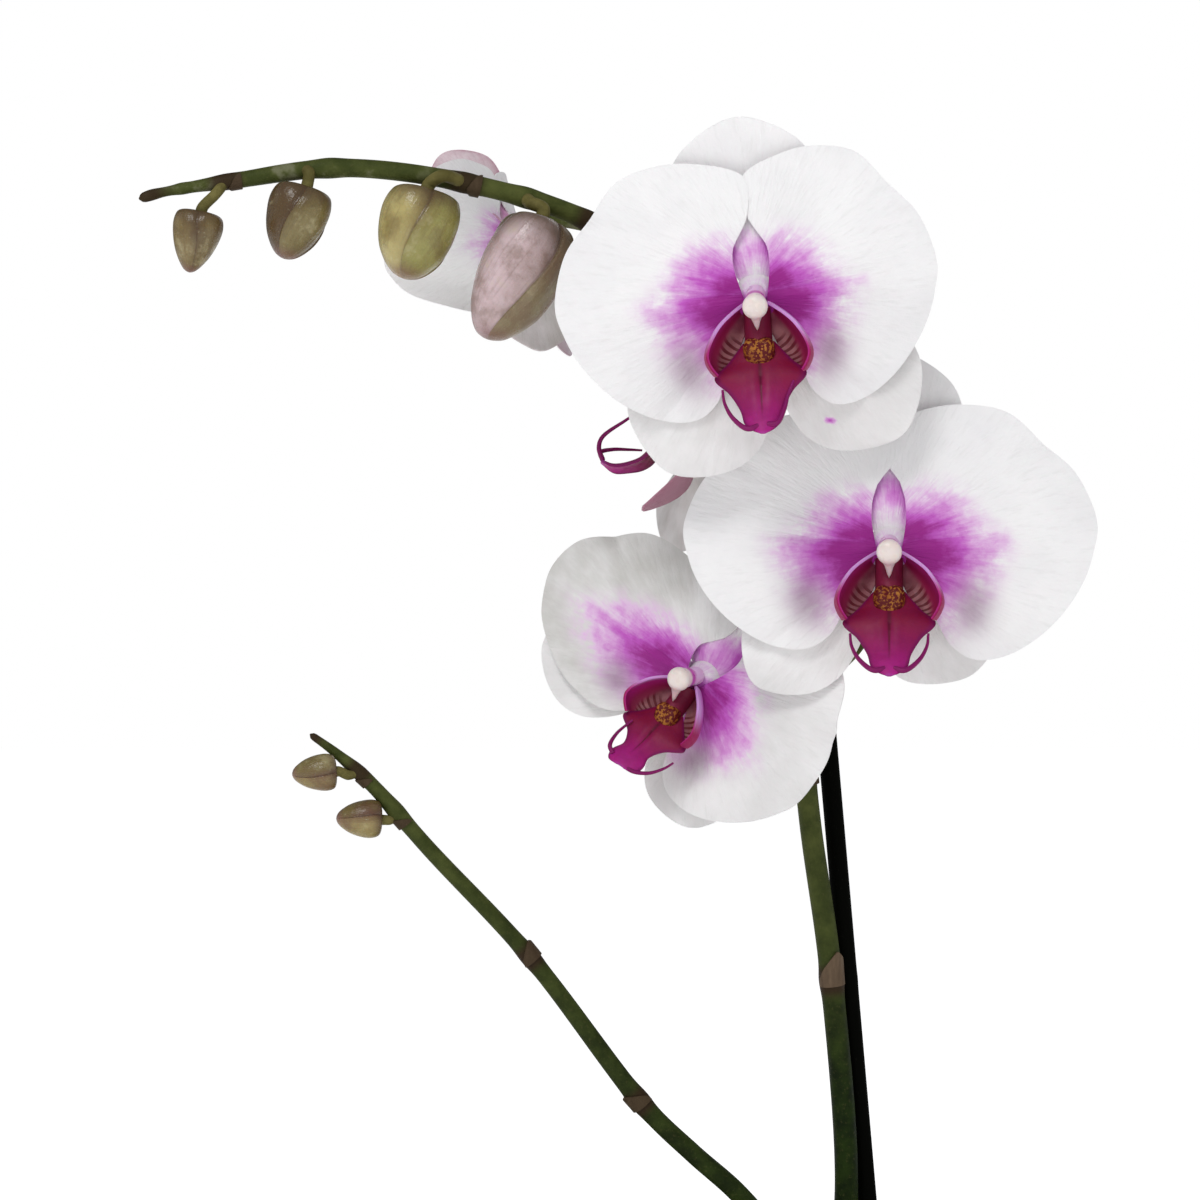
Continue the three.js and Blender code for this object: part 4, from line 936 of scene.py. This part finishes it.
def petal_sheet(size=56):
    """Flat points spread evenly inside the petal's outline, and how near each is to its edge."""
    outline = PETAL_LOWER + [PETAL_TIP] + PETAL_UPPER[::-1] + PETAL_LOWER[:1]
    loop = smooth_line([[*p, 0] for p in outline], 8)[:, :2]
    spokes = loop - PETAL_MIDDLE
    bearing = np.unwrap(np.arctan2(spokes[:, 1], spokes[:, 0]))
    u, v = np.meshgrid(np.linspace(-1, 1, size), np.linspace(-1, 1, size), indexing="ij")
    x, y = u * np.sqrt(1 - v * v / 2), v * np.sqrt(1 - u * u / 2)
    reach = np.interp(np.arctan2(y, x), bearing, np.linalg.norm(spokes, axis=1), period=2 * np.pi)
    return PETAL_MIDDLE + np.stack([x, y], -1) * reach[:, :, None], np.hypot(x, y)


def sepal_sheet(columns=26):
    """Flat points between the sepal's two edges, and how near each is to its edge."""
    edge = smooth_line([[*p, 0] for p in SEPAL_SIDE + [SEPAL_TIP]], 5)[:, :2]
    edge[-1] = edge[-1] * 0.9 + edge[-2] * 0.1
    k = np.linspace(-1, 1, columns)[None, :]
    points = np.stack([edge[:, :1] + 0 * k, edge[:, 1:] * k], -1)
    end = np.clip((np.linspace(0, 1, len(edge))[:, None] - 0.9) / 0.1, 0, 1)
    return points, np.maximum(np.abs(k), end)


def petal_flush(x, y, shape):
    """How deep the magenta lies on a petal: strongest at its foot, and fainter along the midrib."""
    above, out = above_midrib(x, y), x / shape.get("dyed", 1)
    upper_part = 1.2 * np.exp(-1.45 * (((out - 4) / 17) ** 2 + (above / 14) ** 2))
    lower_part = 1.2 * np.exp(-1.15 * (((out - 6) / 18) ** 2 + ((above + 5) / 17) ** 2))
    upper_share = np.clip((above + 2.5) / 5, 0, 1)
    flush = upper_part * upper_share + lower_part * (1 - upper_share)
    flush = flush + 0.24 * bell(above + 1, 5) * np.clip(1 - out / 42, 0, 1) * np.clip(out / 10, 0, 1)
    flush = flush - 0.3 * bell(above - 1.0, 0.8) * np.clip(1 - out / 34, 0, 1)
    return flush * (1 - 0.45 * bell(out - 1, 5) * np.clip((above - 5) / 6, 0, 1)) * shape.get("faint", 1)


def dorsal_flush(x, y, shape):
    """The same for the sepal at the top, with a line down each half."""
    flush = shape.get("flush", 0.4) * bell(x - shape.get("flush_at", 12), 7)
    return flush + 0.32 * bell(np.abs(y) - (3.2 + 0.1 * x), 1.1) * bell(x - 12, 9)


def spun(first, second, turn):
    """Two directions turned round the third."""
    return first * np.cos(turn) - second * np.sin(turn), first * np.sin(turn) + second * np.cos(turn)


def tepal(shape, wave, hand, petal, blush):
    """One petal or sepal: a flat sheet is given its height, stretched, twisted, tipped and turned."""
    sheet, rim = petal_sheet() if petal else sepal_sheet()
    x, y = sheet[:, :, 0], sheet[:, :, 1]
    rim = rim + 0 * x
    dorsal = not petal and shape["turn"] > 45
    z = (petal_height if petal else sepal_height)(x, y, wave) + shape.get("lean", 0) * (x / 50) ** 2
    if dorsal:
        z = z + 1.9 * bell(x - 11, 6) * bell(y, 5)
    elif petal:
        z = z - 0.45 * hand * bell(x + 1, 6) * np.clip((y - 10) / 8, 0, 1)
    else:
        z = z - 2.6 * bell(x - 24, 17) + shape.get("curl", 0) * np.clip((x - 34) / 16, 0, 1) ** 2
    x_long = x * shape.get("long", 1) + shape.get("open", 0) * bell(y - 18, 4.5) * np.clip(1 - x / 14, 0, 1)
    y_broad = y * shape.get("broad", 1) * (1 + shape.get("foot", 0) * bell(x - 7, 7))
    slope = 1 - shape.get("slope", 0) * np.clip((55 - x) / 50, 0, 1)
    y_broad = y_broad * np.where(y > 0, slope, shape.get("low", 1))
    y_broad, z = spun(y_broad, z, math.radians(shape.get("spin", 0)) * np.clip((x - 12) / 26, 0, 1))
    forward, z = spun(x_long, z, math.radians(shape.get("lift", 0)))
    forward, y_broad = spun(forward, y_broad, math.radians(shape["turn"]))
    grid = np.stack([forward, y_broad, z], -1)
    bearing = np.arctan2(above_midrib(x, y) if petal else y, x + 5) + (7 if hand < 0 else 0) + shape["turn"]
    painted_lilac_shade = np.zeros_like(x)
    if petal:
        flush = petal_flush(x, y, shape)
        # Painted shade, greyish lilac, on the petal's lower half where the lip shades it.
        painted_lilac_shade = 0.95 * bell(x - 22, 5.5) * bell(above_midrib(x, y) + 19, 7.5)
    else:
        flush = dorsal_flush(x, y, shape) if dorsal else np.clip(0.35 - x / 40, 0, 1)
    if "fleck" in shape:
        flush = flush + 0.8 * bell(x - shape["fleck"][0], 1.1) * bell(y - shape["fleck"][1], 0.7)
    petal_blush, sepal_blush, through = blush
    pink = petal_blush if petal else shape.get("pink", sepal_blush)
    # Painted shade near the foot of each side sepal by the lip, unless the shape gives its own amount.
    painted_shade = shape.get("painted_shade", 0.0 if petal or dorsal else 0.3 + 1.0 * bell(x - 15, 13)) + 0 * x
    far = np.hypot(x + 5, y) / 50
    front = np.stack([bearing, far, flush, shape.get("inner", 0.25) * pink + 0 * x, painted_lilac_shade, painted_shade], -1)
    back = np.stack([bearing, far, through * flush, pink * (0.6 + 0.5 * rim ** 6), 0.5 * painted_lilac_shade, painted_shade], -1)
    return thickened(grid, 1.0 - 0.5 * rim ** 8, front, back, hand)


def bloom_hub():
    """The short fleshy cup that joins the petals at their claws and meets the stalk behind."""
    line = [[0, -5.3], [2.2, -5.2], [4.8, -4], [5.6, -1.8], [4.2, 0.4], [2.9, 2.0], [0, 2.3]]
    points, faces = turned(eased(line, 1.4), sides=40)
    x, y, z = points.T
    in_front = np.clip((z + 1.5) / 2, 0, 1)
    low = np.clip(0.55 - y / 5, 0.2, 1)
    marks = [np.arctan2(y, x), 0 * x, 0.95 * in_front * low, 0.2 * (1 - in_front), 0 * x, 0 * x]
    return points, faces, np.column_stack(marks)


BLUSH = {"opening": (0.04, 0.6, 0.6), "behind": (0.1, 0.3, 0.3)}
PALE_BLUSH = (0.08, 0.14, 0.3)
for name, bloom in BLOOMS.items():
    basis, at = bloom_place(bloom)
    wave, blush = bloom["wave"], BLUSH.get(name, PALE_BLUSH)
    left, right = bloom["petals"]
    shells = [bloom_hub(), tepal(right, wave, 1, True, blush), tepal(left, wave + 2, -1, True, blush)]
    back_sepal, left_sepal, right_sepal = bloom["sepals"]
    for shape, hand in ((back_sepal, 1), (right_sepal, 1), (left_sepal, -1)):
        shells.append(tepal(shape, wave + shape["turn"], hand, False, blush))
    points, faces, marks = together(shells)
    piece = skin(f"bloom_{name}_tepals", points @ basis + at, faces, petal_finish,
                 {"flesh": marks[:, :3], "blush_and_painted_shade": marks[:, 3:]}, crease=55)
    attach(piece, "root")
    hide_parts(f"bloom_{name}_petals")


# Lips. The lip is the bloom's third petal: a middle lobe like an anchor that ends in two curled
# tendrils, two striped side lobes that cup the column, and a spotted yellow knob between them.
def is_part(number):
    return math_of("LESS_THAN", apart(math_of("SUBTRACT", which, number)), 0.5)


lip_finish = new_finish("magenta_lip")
across, along, which = parts_of(mark("lip"))
mottle, fleck = noise(260.0, 4.0), noise(1300.0, 2.0)
lobe = coated(blend(between(along, 0.25, 0.85), (130, 16, 56), (176, 28, 132)),
              (between(mottle, 0.3, 0.7, 0.0, 0.35), (118, 10, 70)),
              # Painted shade: a dark line down the groove in the middle of the lobe's lower part.
              (times(between(apart(across), 0.1, 0.0), between(along, 0.75, 0.45)), (96, 8, 44)),
              (between(apart(across), 0.8, 0.97, 0.0, 0.7), (112, 10, 84)),
              (between(along, 0.9, 1.0, 0.0, 0.35), (176, 74, 180)))
outside = coated(blend(between(along, 0.2, 0.85), (158, 36, 124), (180, 84, 172)),
                 # Painted highlight: a pale lilac band along the side lobe's rim.
                 (between(along, 0.8, 1.0), (206, 156, 216)),
                 (between(across, 0.3, 0.7), (152, 22, 84)))
stripe_at = plus(plus(times(across, 8.0), times(along, 4.2)), times(mottle, 0.35))
stripe = times(between(math_of("PINGPONG", stripe_at, 0.5), 0.22, 0.34), between(across, 0.25, 0.4))
inside = coated(blend(between(mottle, 0.3, 0.7), (152, 96, 100), (122, 64, 72)),
                (stripe, (92, 8, 26)),
                (between(across, 0.3, 0.12, 0.0, 0.6), (128, 36, 70)),
                (between(along, 0.26, 0.46), (138, 20, 68)),
                (between(along, 0.5, 0.92), (170, 30, 118)),
                # Painted highlight: a lilac line along the upper part of the side lobe's rim.
                (times(between(along, 0.84, 1.0), between(across, 0.62, 0.3)), (200, 140, 208)))
knob = coated(blend(between(mottle, 0.35, 0.65), (142, 78, 28), (174, 112, 44)),
              (between(fleck, 0.43, 0.52), (92, 16, 20)))
claw = blend(mottle, (132, 34, 68), (108, 18, 46))
colour = coated(blend(is_part(1), lobe, inside),
                (is_part(2), outside), (is_part(3), knob), (is_part(4), claw))
feed(shader, {"Base Color": colour, "Roughness": between(mottle, 0.2, 0.8, 0.42, 0.56),
              "Specular IOR Level": 0.22, "Subsurface Weight": 0.1, "Subsurface Scale": 0.001})
relief(plus(mottle, times(fleck, 0.3)), 0.0003, 0.5)

MIDDLE_LOBE = [[4.2, -11.5, 6.5], [8.6, -16.2, 9], [12.1, -19.3, 11.8], [8.4, -23, 14.6], [5.6, -27.2, 18],
               [4.6, -30.2, 21], [2.6, -32.2, 22.8], [0.7, -33.4, 23.7]]
LOBE_FOOT = [[1.6, -6, 3.6], [4.2, -11.5, 5.6], [6, -15.5, 7.6], [7.2, -18.2, 9.2]]
LOBE_EDGE = [[4, -1, 7.2], [11.2, -7, 13], [14.2, -13.5, 15.5], [12.4, -19.2, 14.5]]
TENDRIL = [[1.2, -31.6, 22.4], [4, -32, 23.2], [7.6, -29.6, 20.6], [9.8, -26, 16.8], [10.2, -23, 14.2]]
CLAW = [[0, -3.4, 4.2], [0, -7, 4.5], [0, -12.5, 7.2]]
# In three blooms the middle lobe or the tendrils at its left and right have grown differently.
LIP_TURNS = {
    "left": {
        "lobe": [[4.2, -11.5, 6.5], [8.8, -16.2, 9], [12.4, -19.6, 11.8], [7.2, -23, 14.6],
                 [5.0, -26.6, 17.6], [6.2, -29.6, 20.4], [5.4, -32, 22.3], [1.6, -33.4, 23.5]],
        "left": [[4.6, -31.6, 22], [7.2, -30.2, 21.4], [8.6, -26.4, 18.2], [8.2, -22.6, 15.4],
                 [7.4, -20.4, 14.6]],
        "right": [[1.2, -32.8, 22.8], [4.4, -33, 22.8], [8.4, -31.4, 20.6], [11.2, -28, 17.4],
                  [12.2, -25.2, 15]]},
    "top": {"right": [[1.2, -31.4, 22.4], [3.6, -31.2, 22.6], [5.6, -28.6, 19.8], [7, -25, 16.4],
                      [8.6, -21.8, 14]]},
    "behind": {
        "lobe": [[4.2, -11.5, 6.5], [8, -19, 6.5], [11, -26, 7.5], [8, -30.5, 10.5], [5.4, -33, 15],
                 [4.2, -34.2, 19.5], [1.4, -33.4, 23.6]],
        "left": [[0.6, -32.8, 23.4], [2, -30.2, 24.6], [3, -28.4, 21.3], [4, -27.2, 15.8], [4.5, -26.6, 12]],
        "right": [[0.6, -33, 23.4], [2.2, -30, 25.1], [3.4, -26.8, 24.7], [5, -20.1, 18], [5.5, -16, 14]]},
}
KNOB = {"size": [4.1, 4.2, 2.8], "at": [0, -14.5, 9.4]}
TENDRIL_RADIUS, TENDRIL_POINTS = 0.62, 40
CLAW_RADIUS, CLAW_POINTS = 3.7, 24


def middle_lobe(lobe_rows):
    rows = smooth_line(lobe_rows, 9)
    t = np.linspace(0, 1, len(rows))[:, None]
    half = np.maximum(rows[:, :1], 0.4)
    k = np.linspace(-1, 1, 27)[None, :]
    x = half * k
    y = rows[:, 1:2] - 1.2 * k * k * np.clip((half - 0.6) / 4, 0, 1)
    z = rows[:, 2:3] + 0.12 * half * (1 - k * k)
    z = z - 0.7 * bell(x, 0.8) * bell(t - 0.36, 0.2) + 0.2 * bell(np.abs(x) - 2.2, 1.0) * bell(t - 0.36, 0.25)
    lobe_marks = np.stack([k + 0 * x, t + 0 * x, 0 * x], -1)
    return thickened(np.stack([x, y, z], -1), 1.0 - 0.3 * np.abs(k) ** 4, lobe_marks, lobe_marks)


def side_lobe(hand):
    foot, edge = smooth_line(LOBE_FOOT, 9), smooth_line(LOBE_EDGE, 9)
    k = np.linspace(0, 1, 20)[None, :]
    t = np.linspace(0, 1, len(foot))[:, None]
    grid = foot[:, None, :] * (1 - k[:, :, None]) + edge[:, None, :] * k[:, :, None]
    bulge = 4 * k * (1 - k)
    curl = np.clip((k - 0.8) / 0.2, 0, 1) ** 2
    grid += np.stack([2.2 * bulge - 0.8 * curl, -0.8 * bulge, 0.5 * curl - 2.4 * bulge], -1)
    round_off = np.clip(1 - (np.abs(t - 0.5) * 2) ** 6 * 0.12, 0, 1)
    grid = grid[:, :1] + (grid - grid[:, :1]) * round_off[:, :, None]
    inner, outer = (np.stack([t + 0 * k, k + 0 * t, side + 0 * k * t], -1) for side in (1, 2))
    return thickened(grid, 0.8, inner, outer, hand)


def knob_shape():
    line = [[0, -1]] + [[math.cos(a), math.sin(a)] for a in np.linspace(-1.45, 1.45, 14)] + [[0, 1]]
    points, faces = turned(line, sides=36)
    x, y, z = points.T
    horn = sum(bell(x - side * 0.55, 0.38) * bell(y - 0.45, 0.4) for side in (-1, 1))
    cleft = bell(x, 0.16) * np.clip(z, 0, 1)
    points = points * (1 + 0.28 * horn - 0.18 * cleft)[:, None]
    return points * KNOB["size"] + KNOB["at"], faces, np.column_stack([0 * x, 0 * x, 0 * x + 3])


for name, bloom in BLOOMS.items():
    basis, at = bloom_place(bloom)
    size = bloom.get("lip", 1.0)
    thick = size * bloom["size"]
    shift = np.array(CLAW[0]) * (1 - size)
    grown = LIP_TURNS.get(name, {})
    middle = middle_lobe(grown.get("lobe", MIDDLE_LOBE))
    points, faces, marks = together([middle, side_lobe(1), side_lobe(-1), knob_shape()])
    placed = (points * size + shift) @ basis + at
    lip = skin(f"bloom_{name}_lip_lobes", placed, faces, lip_finish, {"lip": marks}, crease=55)
    thin_stems = []
    for hand, side in ((-1, "left"), (1, "right")):
        line = smooth_line([[hand * x, y, z] for x, y, z in grown.get(side, TENDRIL)])
        line = evenly(line, TENDRIL_POINTS)[0]
        radius = TENDRIL_RADIUS * (1.3 - 0.75 * np.linspace(0, 1, TENDRIL_POINTS)) * thick
        marks = np.tile([0.95, 0.62, 0.0], (TENDRIL_POINTS, 1))
        thin_stems.append(((line * size + shift) @ basis + at, radius, marks))
    line = evenly(smooth_line(CLAW), CLAW_POINTS)[0]
    marks = np.tile([0.0, 0.0, 4.0], (CLAW_POINTS, 1))
    thin_stems.append(((line * size + shift) @ basis + at, np.full(CLAW_POINTS, CLAW_RADIUS * thick), marks))
    tendrils = stem_piece(f"bloom_{name}_lip_tendrils", thin_stems, 14, lip_finish)
    tendrils.data.attributes["growth"].name = "lip"
    for piece in (lip, tendrils):
        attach(piece, "root")
        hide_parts(f"bloom_{name}_lip")


# Columns. In the middle of each bloom stands a short waxy club, cream white with a pink underside.
# Its rounded end is the cap over the pollen, with a small beak below it.
column_finish = new_finish("cream_column")
below, along, _ = parts_of(mark("club"))
wax = noise(380.0)
cream = blend(wax, (230, 216, 208), (242, 232, 228))
cream = blend(between(below, 0.3, 1.0, 0.0, 0.6), cream, (214, 176, 186))
pink = blend(wax, (176, 44, 152), (200, 92, 184))
pink = blend(between(along, 0.5, 0.36), pink, (226, 190, 224))
feed(shader, {"Base Color": blend(between(along, 0.66, 0.56), cream, pink),
              "Roughness": between(wax, 0.2, 0.8, 0.24, 0.36),
              "Subsurface Weight": 0.2, "Subsurface Scale": 0.0015})
relief(wax, 0.0002, 0.4)

COLUMN_LINE = [[0, 0], [2.6, 0.2], [2.6, 5], [2.9, 7.6], [2.8, 8.6], [3.4, 10], [3.25, 11.7],
               [2, 12.7], [0, 12.9]]
COLUMN = {"lean": 12, "up": 0.6, "ahead": 2.9, "half_width": 3.3, "mouth": 1.1, "beak": 4.9, "beak_dip": 1.6}
for name, bloom in BLOOMS.items():
    basis, at = bloom_place(bloom)
    points, faces = turned(eased(COLUMN_LINE, 1.1), sides=40)
    x, y, z = points.T
    under, share = -y / COLUMN["half_width"], z / COLUMN_LINE[-1][1]
    hollow = bell(x, 1.5) * np.clip(under, 0, 1) * bell(share - 0.62, 0.14)
    beak = bell(x, 1.0) * np.clip(under, 0, 1) * bell(share - 0.76, 0.06)
    y = y + COLUMN["mouth"] * hollow - COLUMN["beak"] * beak
    y, z = spun(y, z - COLUMN["beak_dip"] * beak, math.radians(COLUMN["lean"]))
    placed = np.column_stack([x, y + COLUMN["up"], z + COLUMN["ahead"]]) @ basis + at
    marks = np.column_stack([under, share, share * 0])
    piece = skin(f"bloom_{name}_club", placed, faces, column_finish, {"club": marks})
    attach(piece, "root")
    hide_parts(f"bloom_{name}_column")


# Buds. Three sepals are still shut round each other, every one lapping over the next, so each bud has
# three lips that meet at its blunt point. The stalk sits in a dimple between swollen shoulders.
def bud_finish(name, left_face, back_face, right_face, lip_colour, lip_reach=0.5):
    material = new_finish(name)
    inward, along, which = parts_of(mark("bud"))
    patch, dots = noise(130.0, 5.0, 0.62), noise(1300.0, 2.0)
    vein = noise(1.0, at=stretched(mark("bud"), (9.0, 1.3, 9.0)))
    fading = between(along, 0.85, 0.3, 0.35, 1.0)
    colour = coated(blend(between(which, 0.1, 0.4), left_face, back_face),
                    (between(which, 0.6, 0.9), right_face),
                    (between(patch, 0.42, 0.66, 0.0, 0.55), lip_colour),
                    (between(patch, 0.44, 0.3, 0.0, 0.3), (214, 204, 160)),
                    (between(vein, 0.52, 0.72, 0.0, 0.3), lip_colour),
                    (times(fading, between(inward, lip_reach, 0.0, 0.0, 0.6)), lip_colour),
                    (times(fading, between(inward, 0.06, 0.0, 0.0, 0.6)), (84, 58, 38)),
                    (between(dots, 0.62, 0.76, 0.0, 0.2), (206, 198, 160)),
                    (between(along, 0.84, 1.0, 0.0, 0.6), (122, 78, 74)),
                    # Painted shade: the shoulders darken towards the dimple where the stalk sits.
                    (between(along, 0.3, 0.02, 0.0, 0.75), (84, 64, 40)))
    feed(shader, {"Base Color": colour, "Roughness": between(patch, 0.2, 0.8, 0.2, 0.34),
                  "Specular IOR Level": 0.5, "Subsurface Weight": 0.06, "Subsurface Scale": 0.001})
    relief(plus(plus(patch, times(vein, 0.5)), times(dots, 0.2)), 0.0008, 0.5)
    return material


BUD_SKINS = {
    "bud_ripe": bud_finish("rosy_bud", (212, 188, 192), (140, 132, 90), (142, 130, 98), (112, 84, 62), 0.95),
    "bud_large": bud_finish("olive_bud", (180, 166, 106), (146, 138, 82), (150, 144, 80), (106, 84, 48)),
    "bud_middle": bud_finish("dusky_bud", (88, 68, 38), (96, 78, 44), (124, 110, 66), (76, 54, 32)),
    "bud_small": bud_finish("brown_bud", (122, 104, 62), (100, 84, 48), (112, 94, 54), (78, 56, 36)),
}
side_skin = bud_finish("umber_bud", (120, 106, 62), (86, 66, 40), (150, 132, 82), (92, 48, 44))
BUD_LINE = [[-0.40, 0.02], [-0.45, 0.24], [-0.5, 0.5], [-0.42, 0.82], [-0.24, 0.98], [-0.02, 0.99],
            [0.18, 0.88], [0.34, 0.66], [0.45, 0.39], [0.49, 0.16], [0.5, 0.02]]
# Where one seam lies, in degrees to the right of the side that faces the viewer, and its twist.
BUD_TURNS = {
    "bud_ripe": (26, -64), "bud_large": (-2, -40), "bud_middle": (-12, -40), "bud_small": (10, 24),
    "side_bud_upper": (10, 20), "side_bud_lower": (-14, 20),
}
bud_profile = smooth_line([[r, s, 0] for s, r in BUD_LINE], 7)[:, :2]
bud_profile[:, 1] = np.clip(bud_profile[:, 1], -0.5, 0.5)
bud_profile[[0, -1], 0] = 0
for name, bud in BUDS.items():
    points, faces = turned(bud_profile, sides=132)
    seam_at, twist = (math.radians(v) for v in BUD_TURNS[name])
    x, y, z = points.T
    turn, share = np.arctan2(y, x), z + 0.5
    which, phase = np.divmod(np.mod(turn / (2 * np.pi / 3) + 1e-6, 3), 1)
    belly = np.sin(np.pi * phase) ** 0.8
    shoulder = np.clip(1 - share / 0.5, 0, 1)
    reach = 0.9 + 0.075 * phase ** 3 + (0.05 + 0.13 * shoulder) * (belly - 0.45)
    across = np.hypot(x, y) * reach * bud["girth"] / 2 * (1 + bud.get("taper", 0.06) * (0.35 - share))
    turn = turn - seam_at - twist * (share - 0.5)
    lift = 0.05 * (belly - 0.5) * shoulder ** 0.5 * np.clip(share * 12, 0, 1)
    points = np.column_stack([across * np.cos(turn), across * np.sin(turn), (z - lift) * bud["length"]])
    along = np.array(bud["tip"], float) / np.linalg.norm(bud["tip"])
    facing = np.array([0.0, -1.0, 0.0]) + along * along[1]
    facing /= np.linalg.norm(facing)
    placed = points @ np.vstack([facing, np.cross(along, facing), along]) + bud["at"]
    placed[:, 0] -= bud.get("bend", 0) * share ** 2
    placed[:, 2] += 0.7 * bud.get("bend", 0) * share ** 4
    bud_marks = np.column_stack([2 * np.minimum(phase, 1 - phase), share, which / 2])
    piece = skin(name + "_sepals", placed, faces, BUD_SKINS.get(name, side_skin), {"bud": bud_marks})
    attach(piece, "root")
    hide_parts(name)


# Floor and light. A plain pale sweep carries the pot, as in a small studio. Broad soft lamps stand
# above the viewer, at the left, and behind the plant at the right.
sweep_finish = new_finish("pale_sweep")
from_pot = add("VectorMath", {0: place_on()}, operation="LENGTH").outputs["Value"]
feed(shader, {"Base Color": blend(noise(30.0), (252, 252, 252), (249, 249, 249)), "Roughness": 0.9,
              "Emission Color": (1.0, 1.0, 1.0, 1.0),
              "Emission Strength": between(from_pot, 0.22, 0.78, 0.22, 0.7)})
FLOOR_REACH = 6000
floor_corners = [[x * FLOOR_REACH, y * FLOOR_REACH, 0] for x, y in ((-1, -1), (1, -1), (1, 1), (-1, 1))]
floor = skin("studio_floor", floor_corners, [(0, 1, 2, 3)], sweep_finish)
floor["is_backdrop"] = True

world = bpy.data.worlds.new("studio")
bpy.context.scene.world = world
world.use_nodes = True
tree = world.node_tree
seen = feed(tree.nodes["Background"], {"Color": (1.0, 1.0, 1.0, 1.0), "Strength": 1.0})
towards = parts_of(add("TexCoord").outputs["Generated"])[1]
lit = add("Background", {"Color": (0.97, 0.98, 1.0, 1.0), "Strength": between(towards, -0.7, 0.5, 0.52, 0.2)})
to_viewer = add("LightPath").outputs["Is Camera Ray"]
picked = add("MixShader", {0: to_viewer, 1: lit.outputs[0], 2: seen.outputs[0]})
feed(tree.nodes["World Output"], {"Surface": picked.outputs[0]})

# Places and widths in metres, power in watts.
LAMPS = {
    "lamp_front": {"at": (-0.4, -1.1, 1.35), "width": 0.4, "power": 6.6},
    "lamp_left": {"at": (-1.5, 0.2, 0.9), "width": 0.9, "power": 1.4},
    "lamp_back": {"at": (0.7, 1.5, 1.2), "width": 0.9, "power": 2.4},
}
LAMPS_AIM = Vector((-0.05, 0.0, 0.3))
for name, lamp in LAMPS.items():
    light = bpy.data.lights.new(name, "AREA")
    light.shape = "RECTANGLE"
    light.size = light.size_y = lamp["width"]
    light.energy = lamp["power"]
    placed = put(name, light)
    placed.location = lamp["at"]
    placed.rotation_euler = (LAMPS_AIM - Vector(lamp["at"])).to_track_quat("-Z", "Y").to_euler()

low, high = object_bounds()
